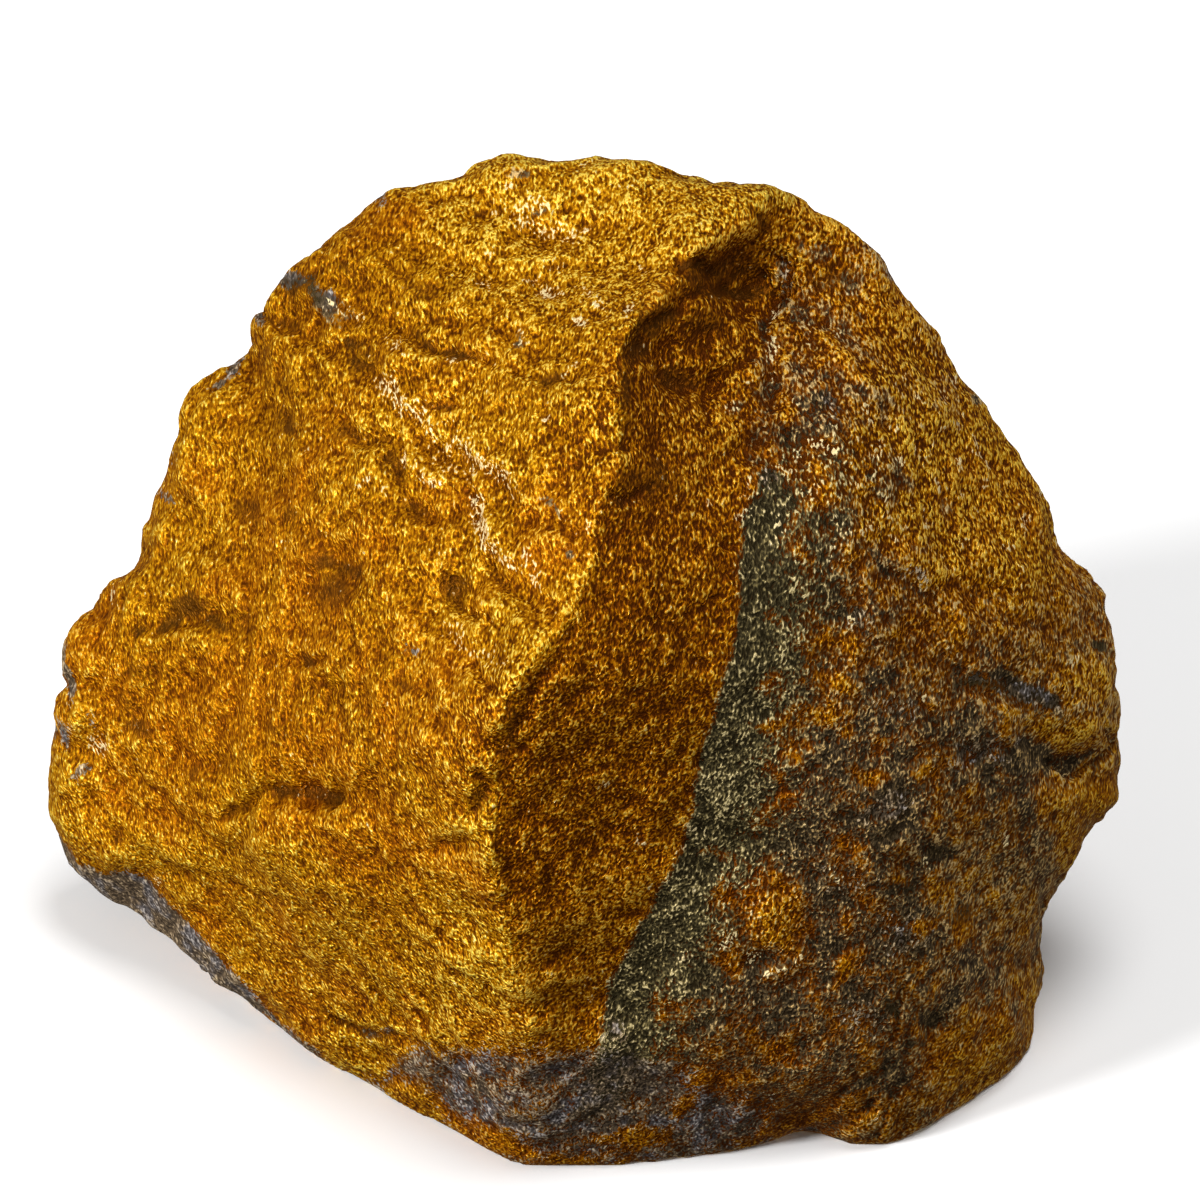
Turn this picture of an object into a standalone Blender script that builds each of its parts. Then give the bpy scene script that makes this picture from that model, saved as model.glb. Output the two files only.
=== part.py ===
"""Rough bronzite: one lump of bronze-brown pyroxene rock, as broken, that stands on a flat break face.

The stone is drawn as break lines. The side that is shown is drawn face on, in millimetres: right, up and
near, towards the viewer. That view leans back by DISPLAY_LEAN, so it is turned down onto the ground
afterwards. The back and the foot are drawn in the ground's own axes: x, y away from the viewer, and z up.
A net of triangles is stretched over the lines, divided finely, worn round between the sharp edges, and
given its ledges, hollows, pits and cracks.
"""

import math

import bmesh
import bpy
import numpy as np
from mathutils import Vector, noise
from mathutils.geometry import delaunay_2d_cdt

MM = 0.001

# Driving dimensions, in millimetres and degrees
DISPLAY_LEAN = math.radians(32.0)
DISPLAY_HEIGHT = 19.0  # the face-on drawing's origin above the ground
NET_PARTS = 5  # each edge of the net is divided into this many
WEAR_PASSES = 14
WEAR_SHARE = 0.5  # how far a point moves towards its neighbours' mean in one pass
CRISP_HOLD = 0.9  # the share of that wear which a sharp edge is spared
BACK_CRISPNESS = 0.8  # how sharp the foot's and the back's edges are, against 1 for the shown ridge
PLACING_ROUNDS = 4  # how often the corners are moved out again, to end in their places after the wear
MOST_OFFSET = 2.4  # how far out a corner is moved at most
SHORTEST_EDGE = 0.05  # shorter ones left by the cut at the ground are closed up
TINY = 1e-6  # shorter lengths count as nothing

LEAN_SIN = math.sin(DISPLAY_LEAN)
LEAN_COS = math.cos(DISPLAY_LEAN)

# The stone's outline as shown, clockwise from the foot of its front corner: right, up, near
OUTLINE = [
    (-2.8, -23.8, 0.6), (-5.3, -22.9, -1.0), (-8.3, -21.3, -3.6), (-11.3, -19.5, -6.3),
    (-14.3, -17.6, -9.2), (-17.1, -15.1, -11.8), (-19.8, -12.7, -14.1), (-22.5, -10.6, -16.2),
    (-25.0, -9.0, -17.6), (-26.5, -7.4, -17.0), (-26.9, -4.4, -15.5), (-26.85, -1.6, -14.2),
    (-26.3, 1.2, -13.2), (-26.0, 3.4, -12.8), (-24.4, 5.7, -12.4), (-22.9, 6.5, -12.3),
    (-22.4, 8.6, -12.0), (-21.5, 10.4, -11.6), (-21.0, 13.2, -11.0), (-20.4, 15.0, -10.8),
    (-19.1, 16.6, -10.4), (-17.2, 17.2, -10.0), (-16.8, 19.0, -9.4), (-15.4, 21.3, -8.4),
    (-12.6, 23.9, -7.2), (-10.2, 25.5, -6.4), (-7.9, 25.7, -5.6), (-4.3, 27.1, -4.6),
    (-0.4, 27.1, -4.0), (3.8, 26.6, -3.8), (7.6, 25.8, -3.9), (10.8, 24.9, -4.2),
    (12.9, 24.0, -4.6), (14.6, 22.5, -5.2), (15.7, 20.5, -5.8), (17.7, 17.9, -6.5),
    (19.7, 15.1, -7.0), (22.0, 12.3, -7.3), (23.5, 9.5, -7.5), (24.4, 6.8, -7.7),
    (25.9, 5.2, -7.9), (26.5, 2.6, -8.2), (26.7, -0.4, -8.6), (26.95, -2.7, -9.0),
    (26.8, -5.0, -9.4), (25.2, -6.6, -9.6), (24.8, -8.9, -9.6), (24.0, -11.2, -9.6),
    (23.2, -14.4, -9.4), (22.3, -17.6, -8.6), (20.6, -19.9, -6.0), (18.0, -21.5, -3.4),
    (15.0, -22.7, -1.2), (12.6, -21.7, -0.4), (10.6, -20.8, 0.2), (8.4, -22.2, -0.4),
    (5.0, -23.3, -0.2), (1.0, -23.7, 0.4),
]

# The sharp ridge that parts the gold face from the shaded one, from the top down
MAIN_RIDGE = [
    (8.7, 24.3, -0.9), (5.7, 22.5, 2.6), (3.4, 20.0, 5.6), (1.7, 17.5, 8.2), (1.3, 14.2, 10.2),
    (1.4, 11.0, 11.8), (0.5, 9.3, 12.7), (0.3, 6.8, 13.8), (-0.8, 4.7, 14.6), (-3.6, 1.1, 15.6),
    (-4.7, -1.2, 15.2), (-4.9, -5.0, 13.9), (-4.4, -9.0, 12.1), (-3.6, -13.0, 9.8), (-2.7, -16.8, 7.2),
]
# The hollow that runs down beside it, where a flake came away
VALLEY = [
    (9.9, 23.0, -2.4), (9.0, 20.5, -1.0), (7.6, 17.6, 1.8), (6.9, 14.3, 4.6), (6.9, 10.5, 7.2),
    (7.2, 6.5, 9.1), (6.6, 2.5, 10.0), (5.8, -1.6, 9.8), (5.0, -5.6, 9.0), (3.8, -9.2, 8.0),
    (2.2, -12.4, 7.1), (0.9, -15.4, 6.4),
]
# The edges around the gold face's top, and along the foot of the faces
TOP_CREASE = [(-16.0, 18.4, -6.6), (-12.8, 19.4, -3.4), (-7.8, 17.8, 2.0), (-3.3, 16.6, 6.0)]
LEFT_FOOT_EDGE = [
    (-24.7, -8.4, -13.4), (-21.8, -9.1, -11.2), (-19.6, -11.2, -9.6), (-17.5, -13.8, -8.3),
    (-13.8, -16.0, -4.9), (-9.3, -17.4, 0.2),
]
FRONT_FOOT_EDGE = [(1.6, -17.4, 6.0), (4.8, -18.0, 5.0), (9.7, -18.6, 3.6), (14.6, -18.9, 1.8)]
CRISP_LINES = [MAIN_RIDGE, LEFT_FOOT_EDGE]
SOFT_LINES = [VALLEY, TOP_CREASE, FRONT_FOOT_EDGE]

# Single high and low points of the shown faces
SHOWN_POINTS = [
    # gold face, from the top down
    (-6.8, 23.0, -1.9), (-1.3, 23.2, -0.6), (3.2, 23.9, 0.2), (-0.6, 19.6, 3.9),
    (-17.8, 14.8, -7.4), (-14.6, 12.6, -2.0), (-8.3, 11.6, 5.0), (-3.3, 9.0, 10.2), (-18.0, 9.0, -5.8),
    (-19.4, 4.6, -5.4), (-13.3, 4.2, 2.6), (-7.8, 3.2, 9.4), (-21.8, -3.0, -7.6),
    (-15.3, -4.3, 1.2), (-9.3, -4.8, 8.4), (-23.6, -6.6, -10.4), (-14.3, -11.0, -1.5),
    (-8.4, -11.6, 5.0), (-19.4, -7.4, -5.4),
    # right face, from the top down
    (12.6, 21.6, -3.2), (13.2, 18.6, -1.1), (12.2, 14.6, 2.8), (16.4, 14.0, -0.8), (15.8, 9.8, 2.4),
    (11.6, 6.8, 7.0), (20.6, 7.0, -1.2), (17.8, 4.2, 3.2), (12.2, -1.0, 7.8), (18.6, -1.6, 3.6),
    (23.5, 0.6, -1.8), (10.7, -8.0, 6.8), (17.2, -8.6, 3.8), (22.1, -6.0, -1.0), (8.3, -14.4, 5.6),
    (15.4, -14.6, 3.2), (20.0, -14.6, -2.0),
]

# The foot's break face: x, y, z. It is drawn a little low, and the ground then cuts it off flat
FOOT = [
    (-2.2, -11.2, -1.2), (6.0, -9.8, -1.2), (10.8, -5.8, -1.2), (14.6, -9.0, -1.2), (19.2, -4.4, -1.2),
    (19.6, 4.6, -1.2), (15.0, 14.6, -1.2), (6.0, 20.4, -1.2), (-5.0, 19.6, -1.2), (-13.6, 14.4, -1.2),
    (-16.4, 7.0, -1.2), (-9.6, -3.8, -1.2),
]
# The back's ridges, each with a sharp edge: x, y, z
BACK_RIDGE = [(-6.0, 24.6, 6.0), (-7.4, 27.4, 16.0), (-5.0, 24.8, 27.6), (1.5, 20.8, 35.4)]
BACK_LEFT_RIDGE = [(-19.2, 19.4, 4.6), (-18.0, 23.0, 13.6), (-13.6, 21.0, 25.0)]
BACK_RIGHT_RIDGE = [(15.4, 20.2, 5.4), (17.8, 20.6, 16.4), (14.4, 17.6, 27.0)]
BACK_LINES = [BACK_RIDGE, BACK_LEFT_RIDGE, BACK_RIGHT_RIDGE]
# Single points of the back's faces
BACK_POINTS = [
    (22.6, 12.0, 6.4), (24.3, 12.6, 18.0), (5.2, 24.4, 6.6), (6.4, 25.4, 17.6), (5.0, 22.6, 28.6),
    (-22.8, 15.4, 4.0), (-23.0, 16.8, 12.8), (-11.8, 24.2, 7.6), (-12.4, 24.6, 17.4), (19.4, 15.0, 24.0),
    (9.4, 19.4, 31.0), (-5.6, 21.6, 33.0), (11.6, 22.2, 10.6),
]

# Splitting planes of the rock: they crop out as small ledges, stepped like shingles
BED_NORMAL = Vector((0.30, 0.84, 0.22)).normalized()  # right, up, near
BED_SPACING = 3.4
BED_WAVES = [(11.0, 1.6), (3.0, 0.4)]  # how the planes wave: wavelength and reach
LEDGE_RISE = 0.42
LEDGE_TREAD = 0.8  # the share of the spacing over which a ledge climbs, before it drops
LEDGE_STRENGTH = (0.6, 0.8)  # its mean, and how much it varies from place to place
LEDGE_PATCH_LENGTH = 6.0
LEDGE_PATCH_SHIFT = Vector((7.0, 0.0, 0.0))
LEDGE_FADE = (-6.0, 9.0)  # ledges are full left of the first place, and weak right of the second
LEDGE_WEAK = 0.12

# Swells of the broken faces: wavelength and height
SWELLS = [(9.0, 0.55), (4.2, 0.30), (2.3, 0.17)]
SWELL_SHIFT = Vector((11.3, 4.7, 9.1))

# Where the relief stays low: where the stone's sides turn away from the shown view, and at the foot
RIM_TURN = 0.5  # how far a face looks along the view where its relief is full
RIM_RELIEF = 0.4  # the share of the relief that stays at the rim
SHOWN_LIMIT = -0.1  # faces that look less along the view than this are the back's
FOOT_FADE = (-0.5, 2.5)  # no relief below the first height, and all of it above the second

DISH_FLAT = 0.15  # the share of a hollow's radius that is flat at its full depth
# Hollows and knobs: right, up, radius, depth (a knob's depth is below zero)
SHOWN_HOLLOWS = [
    (8.2, 20.6, 2.6, 0.9),  # under the ridge's top
    (4.2, 17.4, 2.0, 0.6),
    (6.1, 15.8, 1.3, 0.5),
    (-14.6, 19.2, 1.6, 0.4),
    (-21.3, 4.4, 0.9, 0.45),  # pits of the gold face
    (-19.6, 4.8, 0.8, 0.35),
    (-17.6, 4.1, 0.7, 0.3),
    (-6.0, 12.6, 1.1, 0.3),
    (-5.7, 5.9, 1.3, 0.4),
    (-12.4, 7.0, 1.4, 0.3),
    (-20.6, 0.6, 1.6, 0.35),
    (-23.6, -7.4, 1.0, -0.4),
    (-14.0, -4.4, 1.8, 0.45),
    (-11.4, -5.2, 1.1, 0.4),
    (21.4, 0.9, 1.7, 0.5),  # dark pits of the right face
    (18.2, 1.6, 1.2, 0.35),
    (23.8, -3.0, 1.4, 0.5),
    (19.6, -2.6, 1.5, 0.4),
    (16.2, -8.4, 1.0, 0.4),
    (17.2, -16.2, 1.3, 0.45),
    (10.4, 12.4, 1.2, 0.35),
    (13.2, 13.8, 1.0, -0.3),
    (9.0, -11.0, 1.7, -0.35),
    (24.9, -1.4, 1.2, -0.35),
]
# Hollows of the back, where flakes came away: x, y, z, radius, depth
BACK_HOLLOWS = [
    (9.0, 24.6, 14.0, 7.0, 1.5),
    (-13.0, 24.0, 12.0, 5.0, 0.9),
    (1.0, 24.0, 28.0, 5.5, 1.1),
    (22.4, 14.0, 12.0, 4.5, 0.9),
    (-22.5, 15.5, 9.0, 3.5, 0.7),
]

# Cracks of the shown side: the line (right, up), how far it reaches to each side, and its depth
CRACKS = [
    ([(22.4, -1.8), (23.9, -3.3), (25.2, -3.6), (26.6, -2.9)], 1.8, 0.5),
    ([(-17.6, -6.1), (-15.4, -4.5), (-12.6, -4.3), (-11.0, -5.2)], 1.2, 0.4),
    ([(-5.1, -4.6), (-4.5, -2.4)], 1.2, 0.5),
]
# Steps of the shown side: the line (right, up), and how high the rock on its right stands over its left
STEPS = [
    ([(-10.2, 16.2), (-8.0, 13.2), (-5.4, 10.4), (-4.4, 7.4), (-2.0, 5.4)], 0.45),
    ([(-11.2, 18.4), (-7.6, 17.2), (-3.6, 16.0), (0.8, 15.6)], 0.30),
    ([(-16.8, 19.6), (-14.4, 18.4), (-12.6, 17.0)], 0.40),
]
STEP_WIDTH = 0.5  # the step is at its full height this far from its line
STEP_REACH = 2.4  # and it has faded out this far from it


def from_display(point):
    """A point of the face-on drawing (right, up, near) in the ground's axes."""
    right, up, near = point
    return Vector((
        right,
        up * LEAN_SIN - near * LEAN_COS,
        up * LEAN_COS + near * LEAN_SIN + DISPLAY_HEIGHT,
    ))


def to_display(point):
    """A point in the ground's axes as (right, up, near) of the face-on drawing."""
    x, y, z = point
    return Vector((
        x,
        y * LEAN_SIN + (z - DISPLAY_HEIGHT) * LEAN_COS,
        (z - DISPLAY_HEIGHT) * LEAN_SIN - y * LEAN_COS,
    ))


def chain(first, count, closed=False):
    """The edges that join count points in a row, numbered from first."""
    edges = [(first + i, first + i + 1) for i in range(count - 1)]
    return edges + [(first + count - 1, first)] if closed else edges


def net_over(lines, points):
    """A net over the outline that has every line among its edges: (all its points, triangles)."""
    places = [Vector(p) for p in OUTLINE]
    edges = chain(0, len(OUTLINE), closed=True)
    for line, closed in lines:
        edges += chain(len(places), len(line), closed)
        places += [Vector(p) for p in line]
    places += [Vector(p) for p in points]
    inside_only = 1
    found, _, triangles, sources, _, _ = delaunay_2d_cdt([p.xy for p in places], edges, [], inside_only, TINY)
    if len(found) != len(places):
        raise ValueError("two of the stone's lines cross or share a point")
    return places, [[sources[i][0] for i in triangle] for triangle in triangles]


def stone_net():
    """The whole stone's coarse net, in the ground's axes: (corner places, how crisp each is, triangles)."""
    front_lines = [(line, False) for line in CRISP_LINES + SOFT_LINES]
    shown, shown_faces = net_over(front_lines, SHOWN_POINTS)
    back_lines = [([to_display(p) for p in FOOT], True)]
    back_lines += [([to_display(p) for p in line], False) for line in BACK_LINES]
    back, back_faces = net_over(back_lines, [to_display(p) for p in BACK_POINTS])

    # Both halves share the outline's corners, and the back half's own come after the shown half's
    rim, skipped = len(OUTLINE), len(shown) - len(OUTLINE)
    places = np.array([from_display(p) for p in shown + back[rim:]])
    faces = list(shown_faces)
    for face in back_faces:
        faces.append([i if i < rim else i + skipped for i in reversed(face)])
    crisp = np.zeros(len(places))
    crisp[rim:rim + sum(map(len, CRISP_LINES))] = 1.0
    crisp[len(shown):len(shown) + len(FOOT) + sum(map(len, BACK_LINES))] = BACK_CRISPNESS
    return places, crisp, faces


def divided(corner_count, faces):
    """The net with each edge in NET_PARTS parts: (each point's shares of the corners, small triangles).

    The corners stay the first points.
    """
    numbers = {((corner, NET_PARTS),): corner for corner in range(corner_count)}

    def number(face, counts):
        key = tuple(sorted((corner, count) for corner, count in zip(face, counts) if count))
        return numbers.setdefault(key, len(numbers))

    small = []
    for face in faces:
        for i in range(NET_PARTS):
            for j in range(NET_PARTS - i):
                k = NET_PARTS - 1 - i - j
                small.append([number(face, c) for c in ((i + 1, j, k), (i, j + 1, k), (i, j, k + 1))])
                if k:
                    inner = ((i, j + 1, k), (i + 1, j, k), (i + 1, j + 1, k - 1))
                    small.append([number(face, c) for c in reversed(inner)])
    shares = np.zeros((len(numbers), corner_count))
    for key, row in numbers.items():
        for corner, count in key:
            shares[row, corner] = count / NET_PARTS
    return shares, small


def worn(places, pairs, hold):
    """The places after their wear: each moves towards its neighbours' mean, less where hold is near 1."""
    count = np.bincount(pairs.ravel(), minlength=len(places))[:, None]
    for _ in range(WEAR_PASSES):
        total = np.zeros_like(places)
        np.add.at(total, pairs[:, 0], places[pairs[:, 1]])
        np.add.at(total, pairs[:, 1], places[pairs[:, 0]])
        places = places + WEAR_SHARE * (1.0 - hold) * (total / count - places)
    return places


def worn_net(corner_places, crisp, faces):
    """The divided net after its wear: (places, small triangles).

    The corners are moved out first, so that the worn stone still passes through their drawn places.
    """
    shares, small = divided(len(corner_places), faces)
    sides = np.array(small)[:, [0, 1, 1, 2, 2, 0]].reshape(-1, 2)
    pairs = np.unique(np.sort(sides, axis=1), axis=0)
    hold = CRISP_HOLD * (shares @ crisp)[:, None] ** 3
    offset = np.zeros_like(corner_places)
    for _ in range(PLACING_ROUNDS):
        result = worn(shares @ (corner_places + offset), pairs, hold)
        offset += corner_places - result[:len(corner_places)]
        length = np.linalg.norm(offset, axis=1, keepdims=True)
        offset *= np.minimum(1.0, MOST_OFFSET / np.maximum(length, TINY))
    return worn(shares @ (corner_places + offset), pairs, hold), small


def smooth_step(value, low, high):
    """0 below low, 1 above high, and smooth between."""
    t = min(1.0, max(0.0, (value - low) / (high - low)))
    return t * t * (3.0 - 2.0 * t)


def line_distance(point, line):
    """(distance from a line in the face-on drawing, which side: above 0 to its right as it runs)."""
    nearest, side = 1e9, 1.0
    for a, b in zip(line, line[1:]):
        start, along = Vector(a), Vector(b) - Vector(a)
        share = min(1.0, max(0.0, (point - start).dot(along) / along.length_squared))
        offset = point - start - along * share
        if offset.length < nearest:
            nearest, side = offset.length, math.copysign(1.0, along.y * offset.x - along.x * offset.y)
    return nearest, side


def ledges(seen):
    """Height of the ledges at a point of the face-on drawing."""
    wander = sum(reach * noise.noise(seen / length) for length, reach in BED_WAVES)
    phase = (seen.dot(BED_NORMAL) + wander) / BED_SPACING
    climbed = phase - math.floor(phase)
    tread = min(climbed / LEDGE_TREAD, (1.0 - climbed) / (1.0 - LEDGE_TREAD))
    patch = noise.noise(seen / LEDGE_PATCH_LENGTH + LEDGE_PATCH_SHIFT)
    strength = LEDGE_STRENGTH[0] + LEDGE_STRENGTH[1] * patch
    weak = smooth_step(seen.x, *LEDGE_FADE) * (1.0 - LEDGE_WEAK)
    return LEDGE_RISE * (tread - 0.5) * strength * (1.0 - weak)


def swells(place):
    """Height of the broken faces' swells."""
    return sum(
        height * noise.noise(place / length + SWELL_SHIFT)
        for length, height in SWELLS
    )


def dish(distance, radius):
    """A round hollow's share of its depth at a distance from its middle."""
    return 1.0 - smooth_step(distance, DISH_FLAT * radius, radius)


def shown_relief(seen):
    """Height of the hollows, cracks and steps of the shown side."""
    flat = seen.xy
    height = 0.0
    for right, up, radius, depth in SHOWN_HOLLOWS:
        height -= depth * dish((flat - Vector((right, up))).length, radius)
    for line, reach, depth in CRACKS:
        distance, _ = line_distance(flat, line)
        height -= depth * dish(distance, reach)
    for line, rise in STEPS:
        distance, side = line_distance(flat, line)
        kept = 1.0 - smooth_step(distance, STEP_WIDTH, STEP_REACH)
        height += 0.5 * rise * side * kept * smooth_step(distance, 0.0, STEP_WIDTH)
    return height


def back_relief(place):
    """Height of the hollows of the back."""
    return -sum(
        depth * dish((place - Vector((x, y, z))).length, radius)
        for x, y, z, radius, depth in BACK_HOLLOWS
    )


def roughen(mesh):
    """Moves each point out or in by the stone's relief."""
    mesh.normal_update()
    view = from_display((0.0, 0.0, 1.0)) - from_display((0.0, 0.0, 0.0))
    moved = []
    for vertex in mesh.verts:
        place, normal = vertex.co.copy(), vertex.normal.copy()
        seen = to_display(place)
        height = swells(place) + ledges(seen)
        facing = normal.dot(view)
        height += shown_relief(seen) if facing > SHOWN_LIMIT else back_relief(place)
        height *= RIM_RELIEF + (1.0 - RIM_RELIEF) * smooth_step(abs(facing), 0.0, RIM_TURN)
        moved.append(place + normal * height * smooth_step(place.z, *FOOT_FADE))
    for vertex, place in zip(mesh.verts, moved):
        vertex.co = place


def cut_at_ground(mesh):
    """Cuts the foot off flat along the ground, and closes it with level triangles."""
    parts = mesh.verts[:] + mesh.edges[:] + mesh.faces[:]
    cut = bmesh.ops.bisect_plane(
        mesh, geom=parts, plane_co=(0.0, 0.0, 0.0), plane_no=(0.0, 0.0, 1.0), clear_inner=True,
    )
    rim = [item for item in cut["geom_cut"] if isinstance(item, bmesh.types.BMEdge)]
    bmesh.ops.contextual_create(mesh, geom=rim)
    bmesh.ops.dissolve_degenerate(mesh, edges=mesh.edges, dist=SHORTEST_EDGE)
    bmesh.ops.triangulate(mesh, faces=mesh.faces)


def stone_finish():
    """Bronze-brown stone with a dull metallic glint."""
    material = bpy.data.materials.new("bronzite")
    material.use_nodes = True
    shader = material.node_tree.nodes["Principled BSDF"]
    shader.inputs["Base Color"].default_value = (0.30, 0.14, 0.02, 1.0)
    shader.inputs["Metallic"].default_value = 0.2
    shader.inputs["Roughness"].default_value = 0.5
    return material


def build_stone():
    """The stone as one object that stands on the ground, with its box's middle over the origin."""
    places, faces = worn_net(*stone_net())
    mesh = bmesh.new()
    points = [mesh.verts.new(place) for place in places]
    for face in faces:
        mesh.faces.new([points[i] for i in face])
    bmesh.ops.recalc_face_normals(mesh, faces=mesh.faces)
    roughen(mesh)
    cut_at_ground(mesh)
    bmesh.ops.scale(mesh, vec=(MM, MM, MM), verts=mesh.verts)

    data = bpy.data.meshes.new("bronzite_stone")
    mesh.to_mesh(data)
    mesh.free()
    data.shade_smooth()
    data.materials.append(stone_finish())
    stone = bpy.data.objects.new("bronzite_stone", data)
    bpy.context.scene.collection.objects.link(stone)
    corners = np.array([v.co for v in data.vertices])
    middle = (corners.min(axis=0) + corners.max(axis=0)) / 2.0
    stone.location = (-middle[0], -middle[1], 0.0)
    return stone


def main():
    for obj in list(bpy.data.objects):
        bpy.data.objects.remove(obj)
    build_stone()


main()
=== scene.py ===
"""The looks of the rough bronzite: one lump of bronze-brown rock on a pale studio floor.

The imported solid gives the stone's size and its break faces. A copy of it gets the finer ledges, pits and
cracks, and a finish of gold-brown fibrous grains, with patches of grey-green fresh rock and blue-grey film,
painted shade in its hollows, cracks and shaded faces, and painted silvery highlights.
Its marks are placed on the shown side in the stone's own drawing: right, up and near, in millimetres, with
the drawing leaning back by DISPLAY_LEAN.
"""

import math

import bpy
import numpy as np
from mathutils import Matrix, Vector, noise


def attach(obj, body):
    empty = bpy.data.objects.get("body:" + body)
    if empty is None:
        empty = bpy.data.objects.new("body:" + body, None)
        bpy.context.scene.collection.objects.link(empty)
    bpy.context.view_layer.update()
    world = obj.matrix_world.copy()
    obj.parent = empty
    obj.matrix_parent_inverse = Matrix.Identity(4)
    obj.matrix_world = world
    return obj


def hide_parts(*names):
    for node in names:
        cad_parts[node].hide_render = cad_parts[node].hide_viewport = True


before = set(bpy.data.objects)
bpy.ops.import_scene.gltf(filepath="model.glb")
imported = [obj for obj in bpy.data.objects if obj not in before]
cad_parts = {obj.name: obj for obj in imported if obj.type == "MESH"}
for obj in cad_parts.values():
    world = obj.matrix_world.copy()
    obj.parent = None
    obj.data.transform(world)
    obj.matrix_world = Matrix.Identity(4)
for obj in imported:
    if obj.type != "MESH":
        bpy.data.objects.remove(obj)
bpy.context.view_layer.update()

MM = 0.001

# The drawing that the marks are placed in, and its origin in the part's own axes
DISPLAY_LEAN = math.radians(32.0)
DRAWING_MIDDLE = np.array([0.0, -6.0, 19.0])
RIGHT = np.array([1.0, 0.0, 0.0])
UP = np.array([0.0, math.sin(DISPLAY_LEAN), math.cos(DISPLAY_LEAN)])
NEAR = np.array([0.0, -math.cos(DISPLAY_LEAN), math.sin(DISPLAY_LEAN)])
# How much a face looks near, from -1 to 1, where the shown side's marks begin and where they are in full
SHOWN = (-0.15, 0.1)
RIM_SHOWN = (-0.6, -0.2)  # the same for the forms of the outline, which reach round the rim

# The stone's mesh
GRID = 0.312  # spacing of the fine mesh
FACET_WEAR = 5  # smoothing passes that take the solid's facets off

# Fine relief of the broken faces: wavelength and height
LUMPS = [(1.9, 0.1), (0.95, 0.09), (0.6, 0.06)]
LUMP_SEED = 2.0
# Thin flakes have come away along the rock's grain, and left tilted plates with ragged scarps between them
GRAIN_RUN = np.array([0.82, -0.52, 0.22])  # the way the plates run on the shown side
GRAIN_STRETCH = 0.5
FLAKES = [(7.5, 3.2, 0.42, 4.0), (3.4, 2.0, 0.24, 13.0)]  # wavelength, plates to a wave, scarp's height, seed
RAGGED_SCARPS = (0.9, 0.22)  # wavelength of the scarps' raggedness, and its reach in plates
SCARP_STRETCH = (0.36, 0.64)  # the part of each plate's run in which its scarp rises
PLATED_SHOWN = 0.55  # share of the flakes' height on the shown side
LESS_PAST_RIDGE = 0.15  # how much smaller that share is past the ridge
PLATED_HIDDEN = 0.7  # share of the flakes' height on the hidden side
PLATED_BLUR = 8  # passes that blend the shares
# Each cell of rock draws a luck from -1 to 1. It has a pit where that is above 0, and else a round grain
PIT_SPACING = 1.7
PIT_DEPTH = 0.32  # at a luck of 1
PIT_RADIUS = 0.12  # in spacings
PIT_WIDENS_FROM = 0.35  # the luck past which a pit is wider
PIT_WIDENING = 0.3  # what the radius gains, in spacings, for each 1 of luck past that
PIT_WALL = 0.7  # the power that shapes the walls
LUCK_SPREAD = 7.3  # moves the cells apart, so that each draws a luck of its own
# How far the marks' edges wander: wavelength and reach
WARPS = [(3.2, 0.5), (1.2, 0.5)]
WARP_SEED = 60.0
RELIEF_WARP = 0.4  # share of that wandering that the cracks, hollows and scarps have
SPOT_FADE = (0.3, 1.5)  # where a spot starts to fade and where it ends, in its own half sizes
CRACK_FADE = 2.2  # where a crack ends, in its half widths
SCARP_WALL = 0.3  # how far a small scarp's wall reaches to each side of its line
SCARP_END = 2.2  # how far below its line the rock is level again
# The foot: faces that look down at least this much, and lie this near the ground
FOOT_FACING = -0.9
FOOT_BAND = 0.5
FOOT_GAP = 0.04  # how far its relief is lifted off the ground
GROUND_FADE = 0.8  # the sides' relief fades in over this height above the ground

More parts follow.
